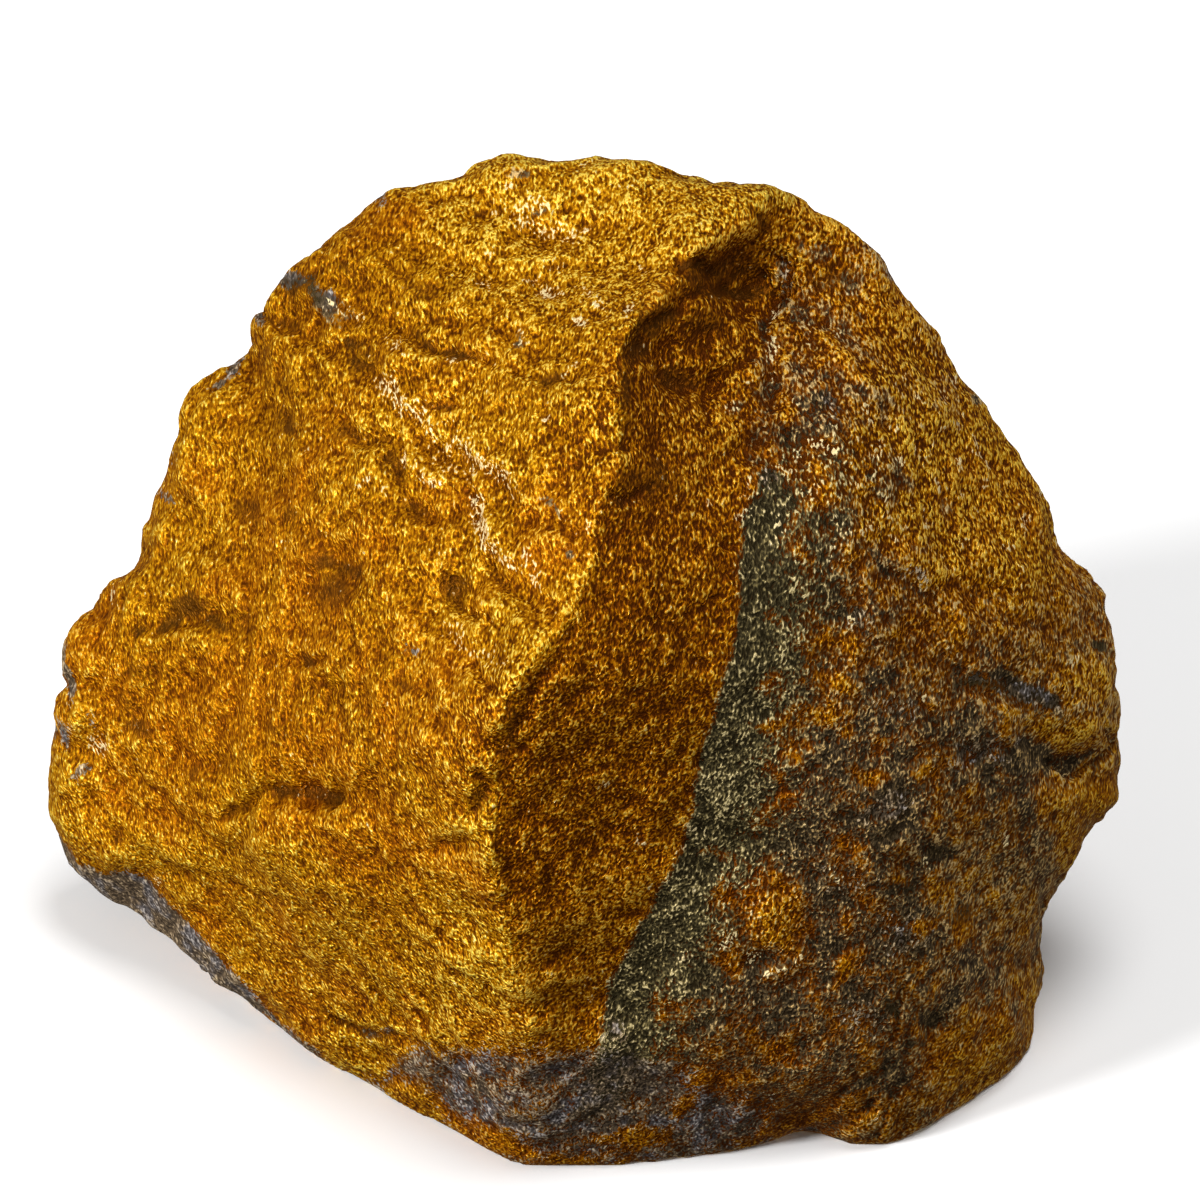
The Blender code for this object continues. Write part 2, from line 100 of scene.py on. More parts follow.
# Cracks of the shown side: the line (right, up), half its width, its depth
CRACKS = [
    ([(-9.9, 18.8), (-9.2, 18.2), (-8.4, 17.9), (-7.2, 17.5), (-6.0, 17.2), (-5.0, 17.0)], 0.2, 0.3),
    ([(-5.0, 17.0), (-4.0, 16.6), (-3.0, 16.3), (-2.0, 16.0), (-0.6, 15.9)], 0.18, 0.22),
    ([(-7.8, 14.8), (-7.0, 14.6), (-6.5, 14.8)], 0.18, 0.25),
    ([(-12.0, 13.9), (-11.4, 12.9), (-10.6, 13.4), (-9.6, 13.2),
      (-9.3, 12.2), (-9.8, 11.2), (-8.6, 9.7), (-7.6, 9.1)], 0.24, 0.28),
    ([(-12.6, 8.6), (-12.0, 9.1), (-11.2, 9.7)], 0.14, 0.25),
    ([(-5.4, 7.1), (-4.6, 6.2), (-4.0, 5.6), (-3.0, 5.4)], 0.18, 0.3),
    ([(-6.6, 6.2), (-6.7, 5.4), (-6.3, 4.7), (-5.2, 4.1)], 0.22, 0.34),
    ([(-17.0, 5.8), (-16.9, 3.8), (-16.7, 2.4)], 0.16, 0.18),
    ([(-14.9, 2.1), (-13.8, 1.8), (-13.0, 2.1)], 0.18, 0.3),
    ([(-17.9, -5.8), (-17.0, -5.2), (-16.4, -4.7), (-15.6, -4.4),
      (-14.6, -4.4), (-13.4, -4.2), (-12.3, -4.9)], 0.22, 0.44),
    ([(-5.4, -3.4), (-4.9, -3.8), (-5.0, -4.6), (-5.6, -5.6)], 0.2, 0.28),
    ([(-7.5, -7.4), (-6.9, -6.9), (-6.2, -7.2)], 0.18, 0.25),
    ([(-5.6, 1.8), (-5.0, 1.2), (-4.8, 0.8)], 0.16, 0.25),
    ([(-12.4, -16.1), (-10.6, -16.5), (-9.6, -16.8), (-8.6, -17.2)], 0.2, 0.3),
    ([(-16.2, 19.3), (-14.8, 18.6), (-13.6, 18.0), (-12.6, 17.2)], 0.2, 0.22),
    ([(23.0, -3.0), (24.0, -3.7), (24.8, -3.6), (25.8, -3.0), (26.3, -2.2), (26.1, -1.7)], 0.13, 0.34),
    ([(15.7, -14.2), (15.4, -15.4), (15.2, -16.6)], 0.14, 0.22),
    ([(12.6, -19.6), (13.8, -18.8), (15.0, -17.8)], 0.2, 0.14),
    ([(11.0, -3.4), (12.2, -2.6), (13.4, -2.2)], 0.16, 0.12),
    ([(18.8, 0.7), (19.8, 0.2), (21.2, -0.4)], 0.16, 0.14),
    ([(19.0, -3.0), (20.4, -2.4), (22.0, -2.2)], 0.18, 0.14),
    ([(12.4, -5.6), (14.2, -5.4), (15.4, -6.4)], 0.2, 0.08),
    ([(19.6, -9.6), (20.6, -9.0), (21.6, -8.5)], 0.2, 0.12),
    ([(9.4, 14.6), (9.0, 15.6), (9.2, 17.0), (8.8, 18.4), (9.4, 20.2)], 0.22, 0.28),
    ([(6.2, 13.8), (6.0, 15.2), (7.0, 16.4), (8.2, 17.2)], 0.22, 0.3),
    ([(1.3, 10.1), (2.2, 10.0), (3.2, 10.6)], 0.22, 0.22),
    ([(-3.4, -1.0), (-2.6, 0.4), (-1.4, 2.0), (-0.6, 3.6)], 0.26, 0.25),
    ([(4.6, 21.7), (5.4, 22.0), (6.2, 21.7), (6.6, 21.1)], 0.24, 0.45),
    ([(7.0, 20.3), (7.8, 20.1), (8.3, 20.7), (8.8, 21.2)], 0.22, 0.4),
    ([(8.5, 22.5), (8.9, 23.2), (8.7, 24.0)], 0.18, 0.3),
    ([(3.4, 18.5), (4.4, 19.1), (5.4, 20.0), (6.4, 20.5)], 0.22, 0.3),
    ([(3.9, 16.0), (4.6, 15.6), (5.3, 15.4)], 0.22, 0.3),
    ([(9.4, 19.6), (9.9, 20.4), (10.1, 21.2), (9.7, 22.0)], 0.2, 0.25),
]
# Hollows: right, up, half length, half width, turn in degrees, depth
HOLLOWS = [
    (-14.0, -4.9, 2.0, 0.5, 4, 0.3), (-9.9, 11.8, 0.7, 1.2, 0, 0.24), (-11.3, 13.2, 0.9, 0.5, -20, 0.18),
    (-23.5, -6.9, 0.8, 0.8, 0, 0.22), (-20.9, 3.9, 2.0, 0.6, 12, 0.3), (-12.4, 6.2, 1.3, 1.3, 0, 0.22),
    (-8.2, 9.4, 1.4, 0.6, -25, 0.18), (-22.4, -0.8, 1.2, 0.9, 0, 0.22), (-6.2, 5.6, 0.9, 1.3, 0, 0.2),
    (-15.8, 14.2, 1.0, 0.6, 0, 0.18), (-16.9, 9.4, 0.8, 0.9, 0, 0.18), (-6.0, -6.9, 1.4, 0.6, 10, 0.22),
    (-3.9, 12.6, 1.3, 0.5, -35, 0.26), (6.6, 21.3, 2.6, 1.3, 20, 0.36), (4.7, 15.6, 1.2, 0.8, 0, 0.3),
    (2.6, 17.6, 0.7, 1.4, -30, 0.25), (8.8, -12.6, 1.0, 0.5, 10, 0.3), (17.3, -7.5, 0.8, 0.6, 0, 0.14),
    (17.1, -15.8, 0.9, 0.7, 0, 0.12), (12.3, 14.6, 0.9, 1.2, 0, 0.14), (9.0, 15.4, 0.7, 0.8, 0, 0.14),
    (13.3, 20.3, 0.7, 0.7, 0, 0.12), (-2.0, 20.4, 0.9, 0.5, -30, 0.15), (-3.2, 24.3, 1.0, 0.5, -20, 0.18),
    (3.2, 11.0, 1.2, 2.0, 0, 0.15), (24.2, -2.9, 1.2, 0.4, 10, 0.15), (22.0, 0.3, 1.8, 0.8, -15, 0.12),
    (14.4, -6.7, 1.0, 0.4, 20, 0.12),
]
# Swells of the left edge: right, up, half length, half width, turn in degrees, rise
SWELLS = [
    (-25.6, 1.6, 1.0, 1.5, 0, 0.98), (-25.6, -0.4, 1.0, 1.8, 0, 0.7), (-26.2, -3.9, 1.0, 2.4, 0, 0.42),
]
# Where the lower right edge is taken in: right, up, half length, half width, turn in degrees, depth
TAKEN_IN = [
    (23.0, -13.4, 4.2, 1.4, 74, 0.36),
]
# The ridge that parts the lit gold face from the shaded ones, from the top down
RIDGE = [
    (8.7, 24.6), (6.7, 24.0), (4.4, 22.3), (3.6, 20.9), (2.6, 19.5), (2.3, 18.2), (1.6, 16.8), (1.4, 15.5),
    (1.3, 14.2), (1.5, 12.0), (1.5, 10.8), (0.7, 9.6), (0.5, 8.6), (0.4, 7.3), (0.3, 6.2), (-0.3, 5.4),
    (-0.8, 4.4), (-1.6, 3.5), (-2.4, 2.6), (-3.2, 1.8), (-4.2, 0.4), (-4.7, -1.2), (-4.9, -5.0),
    (-4.4, -9.0), (-3.6, -13.0), (-2.7, -16.8),
]
# Small scarps that face up to the light: the line (right, up), and how far the rock below it is dropped
SCARPS = [
    ([(-10.6, 16.4), (-9.8, 15.6), (-9.0, 14.6), (-8.0, 13.9), (-7.4, 13.0)], 0.36),
    ([(-7.2, 12.9), (-6.2, 12.5), (-5.4, 11.8), (-4.4, 11.4), (-3.7, 10.5), (-3.2, 10.0)], 0.32),
    ([(-9.2, 12.8), (-8.9, 12.0), (-8.1, 11.0), (-7.0, 10.9), (-5.6, 10.3)], 0.3),
    ([(-5.5, 10.0), (-5.1, 8.8), (-5.0, 7.9), (-4.2, 7.2), (-3.4, 6.4), (-2.4, 5.7)], 0.38),
    ([(-8.4, 6.2), (-7.4, 6.4), (-6.8, 6.0)], 0.2),
    ([(-7.2, 4.4), (-6.6, 3.4), (-5.8, 2.6)], 0.2),
    ([(-24.6, -4.4), (-23.0, -5.0), (-21.6, -5.4), (-19.6, -5.6)], 0.2),
    ([(-21.6, -8.4), (-19.0, -8.2), (-16.6, -9.4), (-14.4, -9.8), (-12.0, -11.4)], 0.16),
    ([(-18.4, -10.8), (-16.0, -12.2), (-13.6, -12.8), (-11.4, -14.4), (-8.6, -15.2)], 0.16),
    ([(-12.4, -6.6), (-10.0, -7.8), (-7.8, -8.2), (-6.0, -9.6)], 0.16),
    ([(-13.4, 16.9), (-12.4, 15.8), (-11.2, 15.0), (-10.4, 14.2), (-10.0, 13.0)], 0.3),
    ([(-7.0, 22.6), (-5.4, 22.0), (-4.2, 21.4), (-2.4, 21.6)], 0.2),
    ([(-4.6, 24.9), (-3.2, 23.9), (-1.8, 23.6), (0.4, 23.9)], 0.2),
    ([(-5.6, 19.3), (-3.4, 19.0), (-1.2, 18.0), (0.8, 18.2)], 0.18),
    ([(-10.6, 21.0), (-9.0, 19.8), (-7.0, 19.2)], 0.22),
    ([(-19.8, 2.6), (-18.2, 2.0), (-16.6, 2.2)], 0.14),
    ([(-12.2, 1.0), (-10.2, 0.8), (-8.6, -0.2), (-7.4, -0.4)], 0.16),
    ([(6.8, 12.4), (8.4, 13.4), (10.0, 13.8), (11.4, 13.2)], 0.25),
    ([(15.8, 6.2), (17.0, 5.5), (18.2, 6.2), (19.6, 5.9)], 0.25),
]

# Where the gold skin ends and the fresh grey-green rock begins, from the top down
GREY_EDGE = [
    (10.4, 12.6), (9.2, 11.5), (8.2, 10.2), (7.6, 9.0), (7.5, 6.0), (7.3, 4.2), (7.0, 2.5), (6.6, 1.0),
    (6.2, -0.5), (5.7, -2.0), (5.5, -3.5), (5.2, -5.3), (4.6, -7.2), (4.2, -8.8), (3.0, -10.3),
    (2.2, -11.8), (1.2, -13.5), (0.8, -15.0), (0.8, -16.3), (0.2, -17.8),
]
# Right of this line, which runs into GREY_EDGE, the rock is mottled with grey, from the top down
MOTTLED_EDGE = [(10.4, 23.6), (9.0, 20.4), (7.8, 17.4), (7.0, 14.6), (6.8, 11.0)] + GREY_EDGE[3:]
# Below this line, from left to right, the underside is blue-grey
BLUE_EDGE = [
    (-27.4, -6.0), (-25.6, -8.2), (-24.3, -8.7), (-23.0, -8.6), (-22.0, -9.0), (-21.2, -9.8),
    (-20.3, -10.8), (-19.3, -11.9), (-18.3, -13.0), (-17.2, -14.1), (-16.0, -15.3), (-14.5, -16.6),
    (-13.0, -17.7), (-11.0, -18.8), (-9.6, -18.6), (-8.6, -17.5), (-6.0, -17.6), (-3.0, -17.6),
    (0.0, -17.4), (2.4, -17.6), (4.5, -18.4), (7.0, -19.8), (9.0, -20.6), (11.0, -21.2),
]
# The marks of the shown side: right, up, half length, half width, turn in degrees, strength.
# First the spots of fresh grey rock
GREY_SPOTS = [
    (12.2, 14.8, 0.6, 1.0, 10, 0.62), (11.5, 14.0, 0.5, 0.4, 0, 0.66), (9.0, 15.5, 0.6, 0.8, -10, 0.66),
    (9.9, 12.4, 0.5, 0.8, 0, 0.62), (9.2, 10.8, 1.0, 0.7, 40, 0.9), (13.3, 20.4, 0.6, 0.6, 0, 0.62),
    (11.7, 22.3, 0.9, 0.5, 0, 0.6), (10.9, 22.9, 0.5, 0.5, 0, 0.56), (13.2, 22.2, 0.6, 0.4, 0, 0.56),
    (15.1, 21.4, 0.5, 0.9, 40, 0.62), (9.6, 21.3, 0.4, 1.3, 10, 0.6), (9.6, 19.5, 0.6, 0.5, 0, 0.6),
    (8.8, 18.2, 0.4, 1.0, -10, 0.56), (7.5, 14.6, 0.5, 0.45, 0, 0.62), (8.2, 16.8, 0.4, 0.6, 0, 0.56),
    (10.4, 13.4, 0.4, 0.6, 20, 0.58), (13.4, 12.6, 0.4, 0.7, 10, 0.54), (10.8, 16.6, 0.35, 0.7, 10, 0.52),
    (12.8, 9.6, 0.6, 0.7, 0, 0.52), (14.0, 11.2, 0.4, 0.6, 0, 0.5), (8.4, 13.0, 0.35, 0.9, -10, 0.56),
    (19.5, 15.3, 0.3, 0.5, 30, 0.8), (13.3, 17.0, 0.4, 0.8, 0, 0.5), (11.8, 19.3, 0.5, 1.1, 0, 0.6),
    (12.3, 11.5, 0.6, 0.8, 0, 0.5), (11.4, 7.5, 1.2, 1.1, 0, 0.7), (10.6, 5.0, 1.0, 0.8, 0, 0.7),
    (14.8, 6.6, 0.7, 0.6, 0, 0.6), (16.4, 5.8, 0.6, 0.3, -20, 0.7), (13.4, 4.4, 0.5, 0.6, 0, 0.8),
    (13.7, 3.0, 0.6, 1.1, 0, 0.7), (14.7, 1.2, 1.3, 1.1, 0, 0.7), (13.6, -0.9, 0.8, 0.9, 0, 0.8),
    (22.0, 0.5, 1.8, 0.7, -15, 1.0), (20.8, 1.3, 1.2, 0.6, -20, 0.9), (23.2, -0.5, 0.8, 0.4, -20, 0.8),
    (19.4, 0.8, 1.1, 0.4, -20, 0.7), (25.6, 2.6, 0.35, 0.4, 0, 1.0), (25.4, 4.0, 0.4, 0.8, 20, 0.5),
    (22.0, -2.8, 2.0, 1.0, 0, 1.0), (24.2, -3.0, 1.2, 0.4, 10, 1.0), (17.5, -1.5, 0.9, 0.7, 0, 0.7),
    (19.2, -2.3, 2.0, 0.6, 8, 0.7), (15.0, -4.6, 1.3, 0.7, 10, 1.0), (13.3, -5.6, 1.6, 0.6, 30, 0.9),
    (14.4, -6.8, 1.1, 0.6, 20, 0.9), (12.4, -9.3, 1.0, 0.8, 0, 0.8), (14.4, -12.0, 1.2, 1.7, 0, 0.7),
    (17.3, -7.5, 0.6, 0.5, 0, 0.9), (15.3, -9.2, 0.6, 0.5, 0, 0.8), (16.6, -12.4, 0.8, 0.6, 0, 0.8),
    (20.5, -12.3, 1.0, 0.9, 0, 0.7), (17.1, -15.8, 0.7, 0.6, 0, 1.0), (16.3, -17.0, 0.5, 0.5, 0, 0.8),
    (18.1, -15.0, 0.6, 0.4, 0, 0.8), (20.9, -9.0, 1.2, 0.5, 35, 0.7), (13.9, -19.0, 1.6, 0.5, 42, 0.8),
    (15.0, -20.7, 0.8, 0.5, 0, 0.7), (16.9, -20.4, 0.8, 0.5, 20, 0.7), (10.6, -17.0, 0.8, 1.0, 0, 0.7),
    (6.0, -15.7, 1.6, 1.4, 0, 0.7), (8.6, -18.2, 1.2, 0.6, 0, 0.8), (12.8, -14.8, 1.0, 0.8, 0, 0.7),
    (22.4, -10.8, 0.6, 1.6, 15, 0.5), (-3.4, 26.2, 0.7, 0.3, -15, 0.7), (-2.4, 24.2, 0.6, 0.3, -10, 0.6),
    (-3.1, 17.9, 0.3, 0.4, 0, 0.7), (-1.7, 9.7, 0.6, 0.25, -20, 0.8), (-0.7, 7.5, 0.3, 0.25, 0, 0.8),
    (-12.9, 19.6, 1.4, 0.7, -38, 0.8), (-8.7, 2.6, 0.6, 0.3, 0, 0.5), (8.6, 5.2, 1.4, 2.4, 0, 0.7),
    (9.6, 1.8, 1.6, 1.2, 0, 0.8), (8.0, -4.4, 2.4, 1.6, 0, 0.8), (8.6, -7.0, 2.4, 1.2, 0, 0.8),
    (10.6, -6.4, 1.6, 1.2, 20, 0.8), (5.0, -11.0, 1.2, 1.6, 0, 1.0), (5.6, -13.4, 2.2, 1.6, 20, 0.9),
    (11.4, -11.6, 0.8, 1.6, 0, 0.8),
]
# Brown skin left on the grey rock and on the blue-grey film
BROWN_SPOTS = [
    (23.9, -1.8, 1.7, 0.7, 12, 1.0), (12.7, 2.8, 1.1, 0.7, 0, 1.0), (12.6, 1.0, 1.0, 0.6, 0, 1.0),
    (9.0, 0.7, 0.9, 0.45, 30, 0.9), (9.3, 4.0, 0.6, 0.5, 0, 0.8), (9.2, -1.0, 1.0, 0.4, 0, 0.9),
    (11.8, -0.8, 0.8, 0.5, -20, 0.9), (13.0, -1.4, 0.4, 0.4, 0, 0.8), (10.6, -2.6, 1.2, 0.7, 0, 0.9),
    (13.9, -3.8, 1.1, 0.45, -10, 1.0), (14.9, -2.3, 0.6, 0.4, 20, 1.0), (16.9, -3.3, 0.6, 0.35, 0, 0.9),
    (13.0, -7.3, 0.7, 0.4, 0, 0.9), (15.1, -8.6, 0.5, 0.35, 0, 0.8), (6.2, -7.3, 0.7, 0.45, 0, 0.8),
    (6.9, -9.6, 0.9, 0.9, 0, 0.9), (9.3, -10.5, 1.9, 1.6, 0, 1.0), (7.1, -12.5, 0.9, 0.6, 0, 0.9),
    (9.7, -4.6, 0.5, 1.0, 0, 0.8), (3.9, -15.0, 1.2, 0.7, 0, 0.6), (12.6, -10.8, 0.5, 0.9, 0, 0.8),
    (12.6, -13.2, 0.3, 1.1, 0, 0.9), (12.2, -15.5, 0.8, 0.6, -30, 0.8), (9.6, -17.2, 0.9, 0.6, 0, 0.9),
    (6.4, -18.8, 1.2, 0.5, 5, 1.0), (7.9, -18.5, 0.8, 0.35, 20, 0.9), (5.1, -19.9, 0.8, 0.35, 38, 1.0),
    (2.4, -19.4, 0.5, 0.4, -20, 0.9), (16.6, -11.2, 0.9, 0.4, 0, 1.0), (18.6, -11.3, 0.5, 0.8, -20, 0.8),
    (17.4, -5.5, 0.6, 0.5, 60, 0.7), (19.0, -4.5, 0.5, 0.4, 0, 0.9), (23.8, -1.4, 1.6, 0.7, 0, 1.0),
    (25.6, -4.8, 1.4, 1.4, 0, 0.9), (24.2, -7.0, 0.9, 2.4, 15, 0.8), (22.8, -5.0, 0.6, 1.2, 0, 0.6),
    (19.4, -17.8, 3.0, 2.4, 30, 0.7), (14.6, -20.6, 1.6, 0.7, 0, 0.7), (20.7, 7.4, 3.6, 3.4, 0, 0.9),
    (18.6, 11.6, 2.6, 2.6, 0, 0.9), (16.4, 9.0, 1.4, 1.4, 0, 0.8), (15.6, 17.4, 1.8, 2.6, 30, 0.8),
    (11.2, 17.6, 0.9, 1.0, 0, 0.6), (24.8, 0.9, 1.2, 1.0, 0, 0.6), (2.0, -21.6, 2.6, 0.4, 3, 0.8),
    (9.2, -21.2, 1.8, 0.4, 25, 0.8), (12.8, 23.4, 1.4, 0.7, -20, 0.8), (17.0, 3.6, 1.6, 1.6, 0, 0.5),
    (22.6, -16.0, 1.0, 2.6, 15, 0.8), (17.0, -9.2, 0.8, 1.0, 0, 0.7), (21.2, -6.0, 0.8, 1.0, 0, 0.4),
    (-4.4, -21.9, 2.6, 0.8, -12, 1.0), (-8.2, -20.2, 2.6, 0.9, -28, 1.0),
    (-11.8, -18.0, 2.8, 0.7, -28, 1.0), (-15.6, -16.2, 1.6, 0.25, -38, 0.8), (0.0, -22.9, 3.0, 0.5, 2, 0.9),
    (10.6, -20.8, 2.0, 0.6, 20, 0.8),
]
# Blue-grey film away from the underside
BLUE_SPOTS = [
    (19.8, 0.9, 1.1, 0.45, -10, 0.5), (-14.9, 20.9, 1.0, 0.45, -20, 1.0), (-12.8, 19.8, 1.0, 0.5, -38, 0.8),
    (-16.5, 19.2, 0.6, 0.3, -30, 0.8), (-17.6, 16.6, 0.7, 0.35, 30, 0.9), (-18.6, 15.7, 0.7, 0.25, 30, 0.8),
    (-26.0, 1.4, 0.45, 1.7, 8, 1.0), (-26.3, -1.4, 0.5, 1.0, 0, 0.7), (-25.6, -3.6, 0.5, 0.4, 30, 0.8),
    (-24.5, -1.2, 0.3, 0.8, 20, 0.5), (-10.6, -16.4, 0.6, 0.3, -20, 0.5), (4.0, -18.2, 1.0, 0.6, 20, 0.9),
    (3.0, -19.0, 1.4, 0.7, 0, 0.9), (18.6, 13.4, 0.5, 0.5, 0, 0.5), (-21.3, 10.2, 0.4, 0.25, 0, 0.6),
    (-10.4, 25.2, 0.5, 0.4, 40, 0.6), (1.6, -16.2, 0.6, 0.8, 0, 0.6), (-20.8, 12.4, 0.4, 0.3, 0, 0.6),
    (14.6, -5.2, 1.6, 0.7, 10, 0.6), (21.8, 0.5, 2.2, 0.8, -15, 0.6), (19.4, -2.6, 2.4, 0.7, 8, 0.5),
    (12.6, -8.8, 1.4, 0.9, 0, 0.42), (15.6, -11.6, 1.4, 1.4, 0, 0.4), (12.2, 14.6, 0.6, 1.0, 10, 0.55),
    (13.4, 4.2, 1.0, 0.9, 0, 0.42), (16.2, 5.8, 1.0, 0.5, -20, 0.42), (9.2, 11.0, 0.9, 0.6, 40, 0.5),
    (14.0, -15.4, 1.6, 1.0, 0, 0.4), (9.9, 21.0, 0.5, 1.3, 10, 0.5), (15.3, -0.4, 1.4, 0.7, -20, 0.42),
    (15.3, 21.1, 0.4, 0.8, 40, 0.6), (-8.6, 2.6, 0.5, 0.3, 0, 0.5),
]
# Olive-brown stains, and painted shade: most of them darken hollows and cracks, where shade falls, and the
# hollow under the ridge's top
STAINS_AND_SHADE = [
    (19.9, 0.7, 1.4, 0.5, -12, 0.9), (6.0, 18.6, 1.1, 0.7, 30, 0.6), (-22.4, 3.7, 0.6, 0.45, 0, 1.3),
    (-20.9, 3.8, 0.5, 0.4, 0, 1.2), (-20.0, 4.6, 1.2, 0.5, -10, 1.2), (-18.5, 3.7, 0.8, 0.4, 0, 0.9),
    (-22.2, 1.2, 1.1, 0.5, 0, 0.5), (-22.9, -0.2, 0.7, 0.6, 20, 0.5), (-22.5, -1.5, 0.8, 0.5, 0, 0.8),
    (-12.9, 7.0, 0.8, 0.6, -20, 0.9), (-11.7, 6.4, 0.6, 0.5, 0, 0.9), (-12.5, 5.4, 1.2, 1.1, 0, 0.8),
    (-14.7, 13.6, 0.4, 0.35, 0, 0.9), (-15.0, 14.2, 1.0, 0.5, 0, 0.5), (-11.2, 16.6, 0.6, 0.8, 0, 0.6),
    (-11.6, 17.75, 0.3, 0.28, 0, 1.2), (-11.8, 21.6, 0.7, 0.35, -20, 0.7), (-19.9, 10.5, 0.5, 0.5, 0, 0.7),
    (-16.9, 9.6, 0.7, 0.8, 0, 0.6), (-15.1, 10.6, 0.25, 0.35, 0, 0.8), (-14.7, 9.1, 0.4, 0.4, 0, 0.6),
    (-17.8, 7.8, 0.45, 0.35, 0, 0.6), (-13.6, 7.6, 0.35, 0.35, 0, 0.6), (-13.0, 8.2, 0.6, 0.3, 30, 0.6),
    (-15.4, 15.6, 0.8, 0.5, 0, 0.45), (-23.5, -6.9, 0.5, 0.7, 0, 0.7), (-8.8, 0.7, 0.5, 0.3, -20, 0.7),
    (-15.4, -1.4, 0.4, 0.3, 0, 0.6), (-14.6, -4.7, 1.4, 0.4, 0, 1.1), (-12.9, -4.7, 0.8, 0.45, -15, 1.1),
    (-17.2, -5.3, 0.8, 0.3, 35, 0.7), (-19.6, -3.5, 0.4, 0.4, 0, 0.7), (-13.4, 1.9, 0.4, 0.3, 0, 1.0),
    (-9.8, 11.7, 0.8, 1.2, 0, 0.6), (-11.3, 13.2, 1.2, 0.6, -20, 0.5), (-8.2, 9.4, 1.2, 0.5, -20, 0.5),
    (-6.4, 5.5, 0.7, 1.1, 5, 0.7), (-6.2, 17.2, 1.3, 0.3, -12, 0.8), (-8.2, 17.9, 0.9, 0.3, -20, 0.6),
    (-1.4, 16.0, 1.0, 0.3, 0, 0.7), (-7.2, 14.7, 0.7, 0.25, 0, 0.8), (-4.4, 6.0, 1.0, 0.3, -45, 0.5),
    (-16.9, 4.2, 0.3, 2.0, 0, 0.45), (-5.5, 24.3, 0.4, 0.3, -40, 0.8), (-13.8, 20.2, 1.2, 0.6, -30, 0.8),
    (-15.2, 18.9, 1.4, 0.3, -25, 0.5), (-7.6, 20.6, 1.8, 0.5, 0, 0.35), (-3.0, 15.4, 1.6, 0.5, 0, 0.35),
    (-13.0, -15.4, 0.4, 0.25, 0, 0.8), (-11.0, -16.4, 1.6, 0.25, -10, 0.7),
    (-5.2, -4.4, 0.45, 1.2, 10, 0.6), (-7.0, -6.9, 0.6, 0.3, 0, 0.5), (-6.2, 8.6, 0.8, 0.5, -40, 0.4),
    (5.6, 21.8, 1.1, 0.35, 5, 1.1), (6.5, 21.0, 0.5, 0.4, 0, 1.1), (7.7, 20.2, 0.9, 0.4, 10, 1.1),
    (8.6, 21.2, 0.5, 0.3, 0, 0.9), (3.4, 18.5, 0.8, 0.3, 20, 1.0), (4.2, 15.8, 0.6, 0.45, 0, 0.7),
    (2.5, 18.3, 0.3, 1.3, -25, 0.8), (6.5, 21.3, 2.5, 1.2, 20, 0.7), (8.6, 23.6, 0.5, 0.8, 0, 0.8),
    (3.7, 18.7, 1.2, 0.6, 42, 0.9), (2.3, 17.2, 0.8, 0.8, 0, 0.8), (4.7, 15.6, 1.2, 0.6, 0, 0.5),
    (7.5, 20.2, 1.7, 0.6, 0, 0.9), (1.9, 15.2, 0.4, 1.5, 0, 0.8), (3.0, 10.9, 1.6, 1.0, 0, 0.6),
    (1.7, 9.9, 0.6, 0.3, 10, 0.6), (5.4, 18.6, 0.8, 1.2, -40, 0.5), (-3.9, -1.4, 0.5, 2.0, 0, 0.6),
    (6.4, 21.0, 0.35, 0.35, 0, 1.0), (25.6, 2.6, 0.3, 0.4, 0, 0.9), (22.1, 0.4, 1.8, 0.8, -15, 0.4),
    (22.0, -2.9, 1.6, 0.6, 0, 0.3), (12.0, 21.0, 1.6, 1.2, 0, 0.4), (24.6, -3.4, 1.3, 0.2, 22, 0.4),
    (15.4, -15.4, 0.22, 1.3, 10, 0.9), (18.7, -10.7, 0.6, 0.4, 0, 0.9), (17.4, -7.5, 0.8, 0.6, 0, 0.5),
    (15.3, -9.1, 0.8, 0.6, 0, 0.4), (16.4, -17.0, 0.45, 0.45, 0, 0.5), (17.1, -15.8, 0.9, 0.7, 0, 0.25),
    (14.2, -18.6, 1.2, 0.3, 45, 0.6), (6.4, -15.6, 0.5, 0.35, 0, 0.7), (14.5, -6.4, 1.1, 0.4, 20, 0.4),
    (21.4, 0.0, 1.4, 0.4, -15, 0.4), (0.0, -22.9, 4.0, 0.25, 2, 0.5),
]
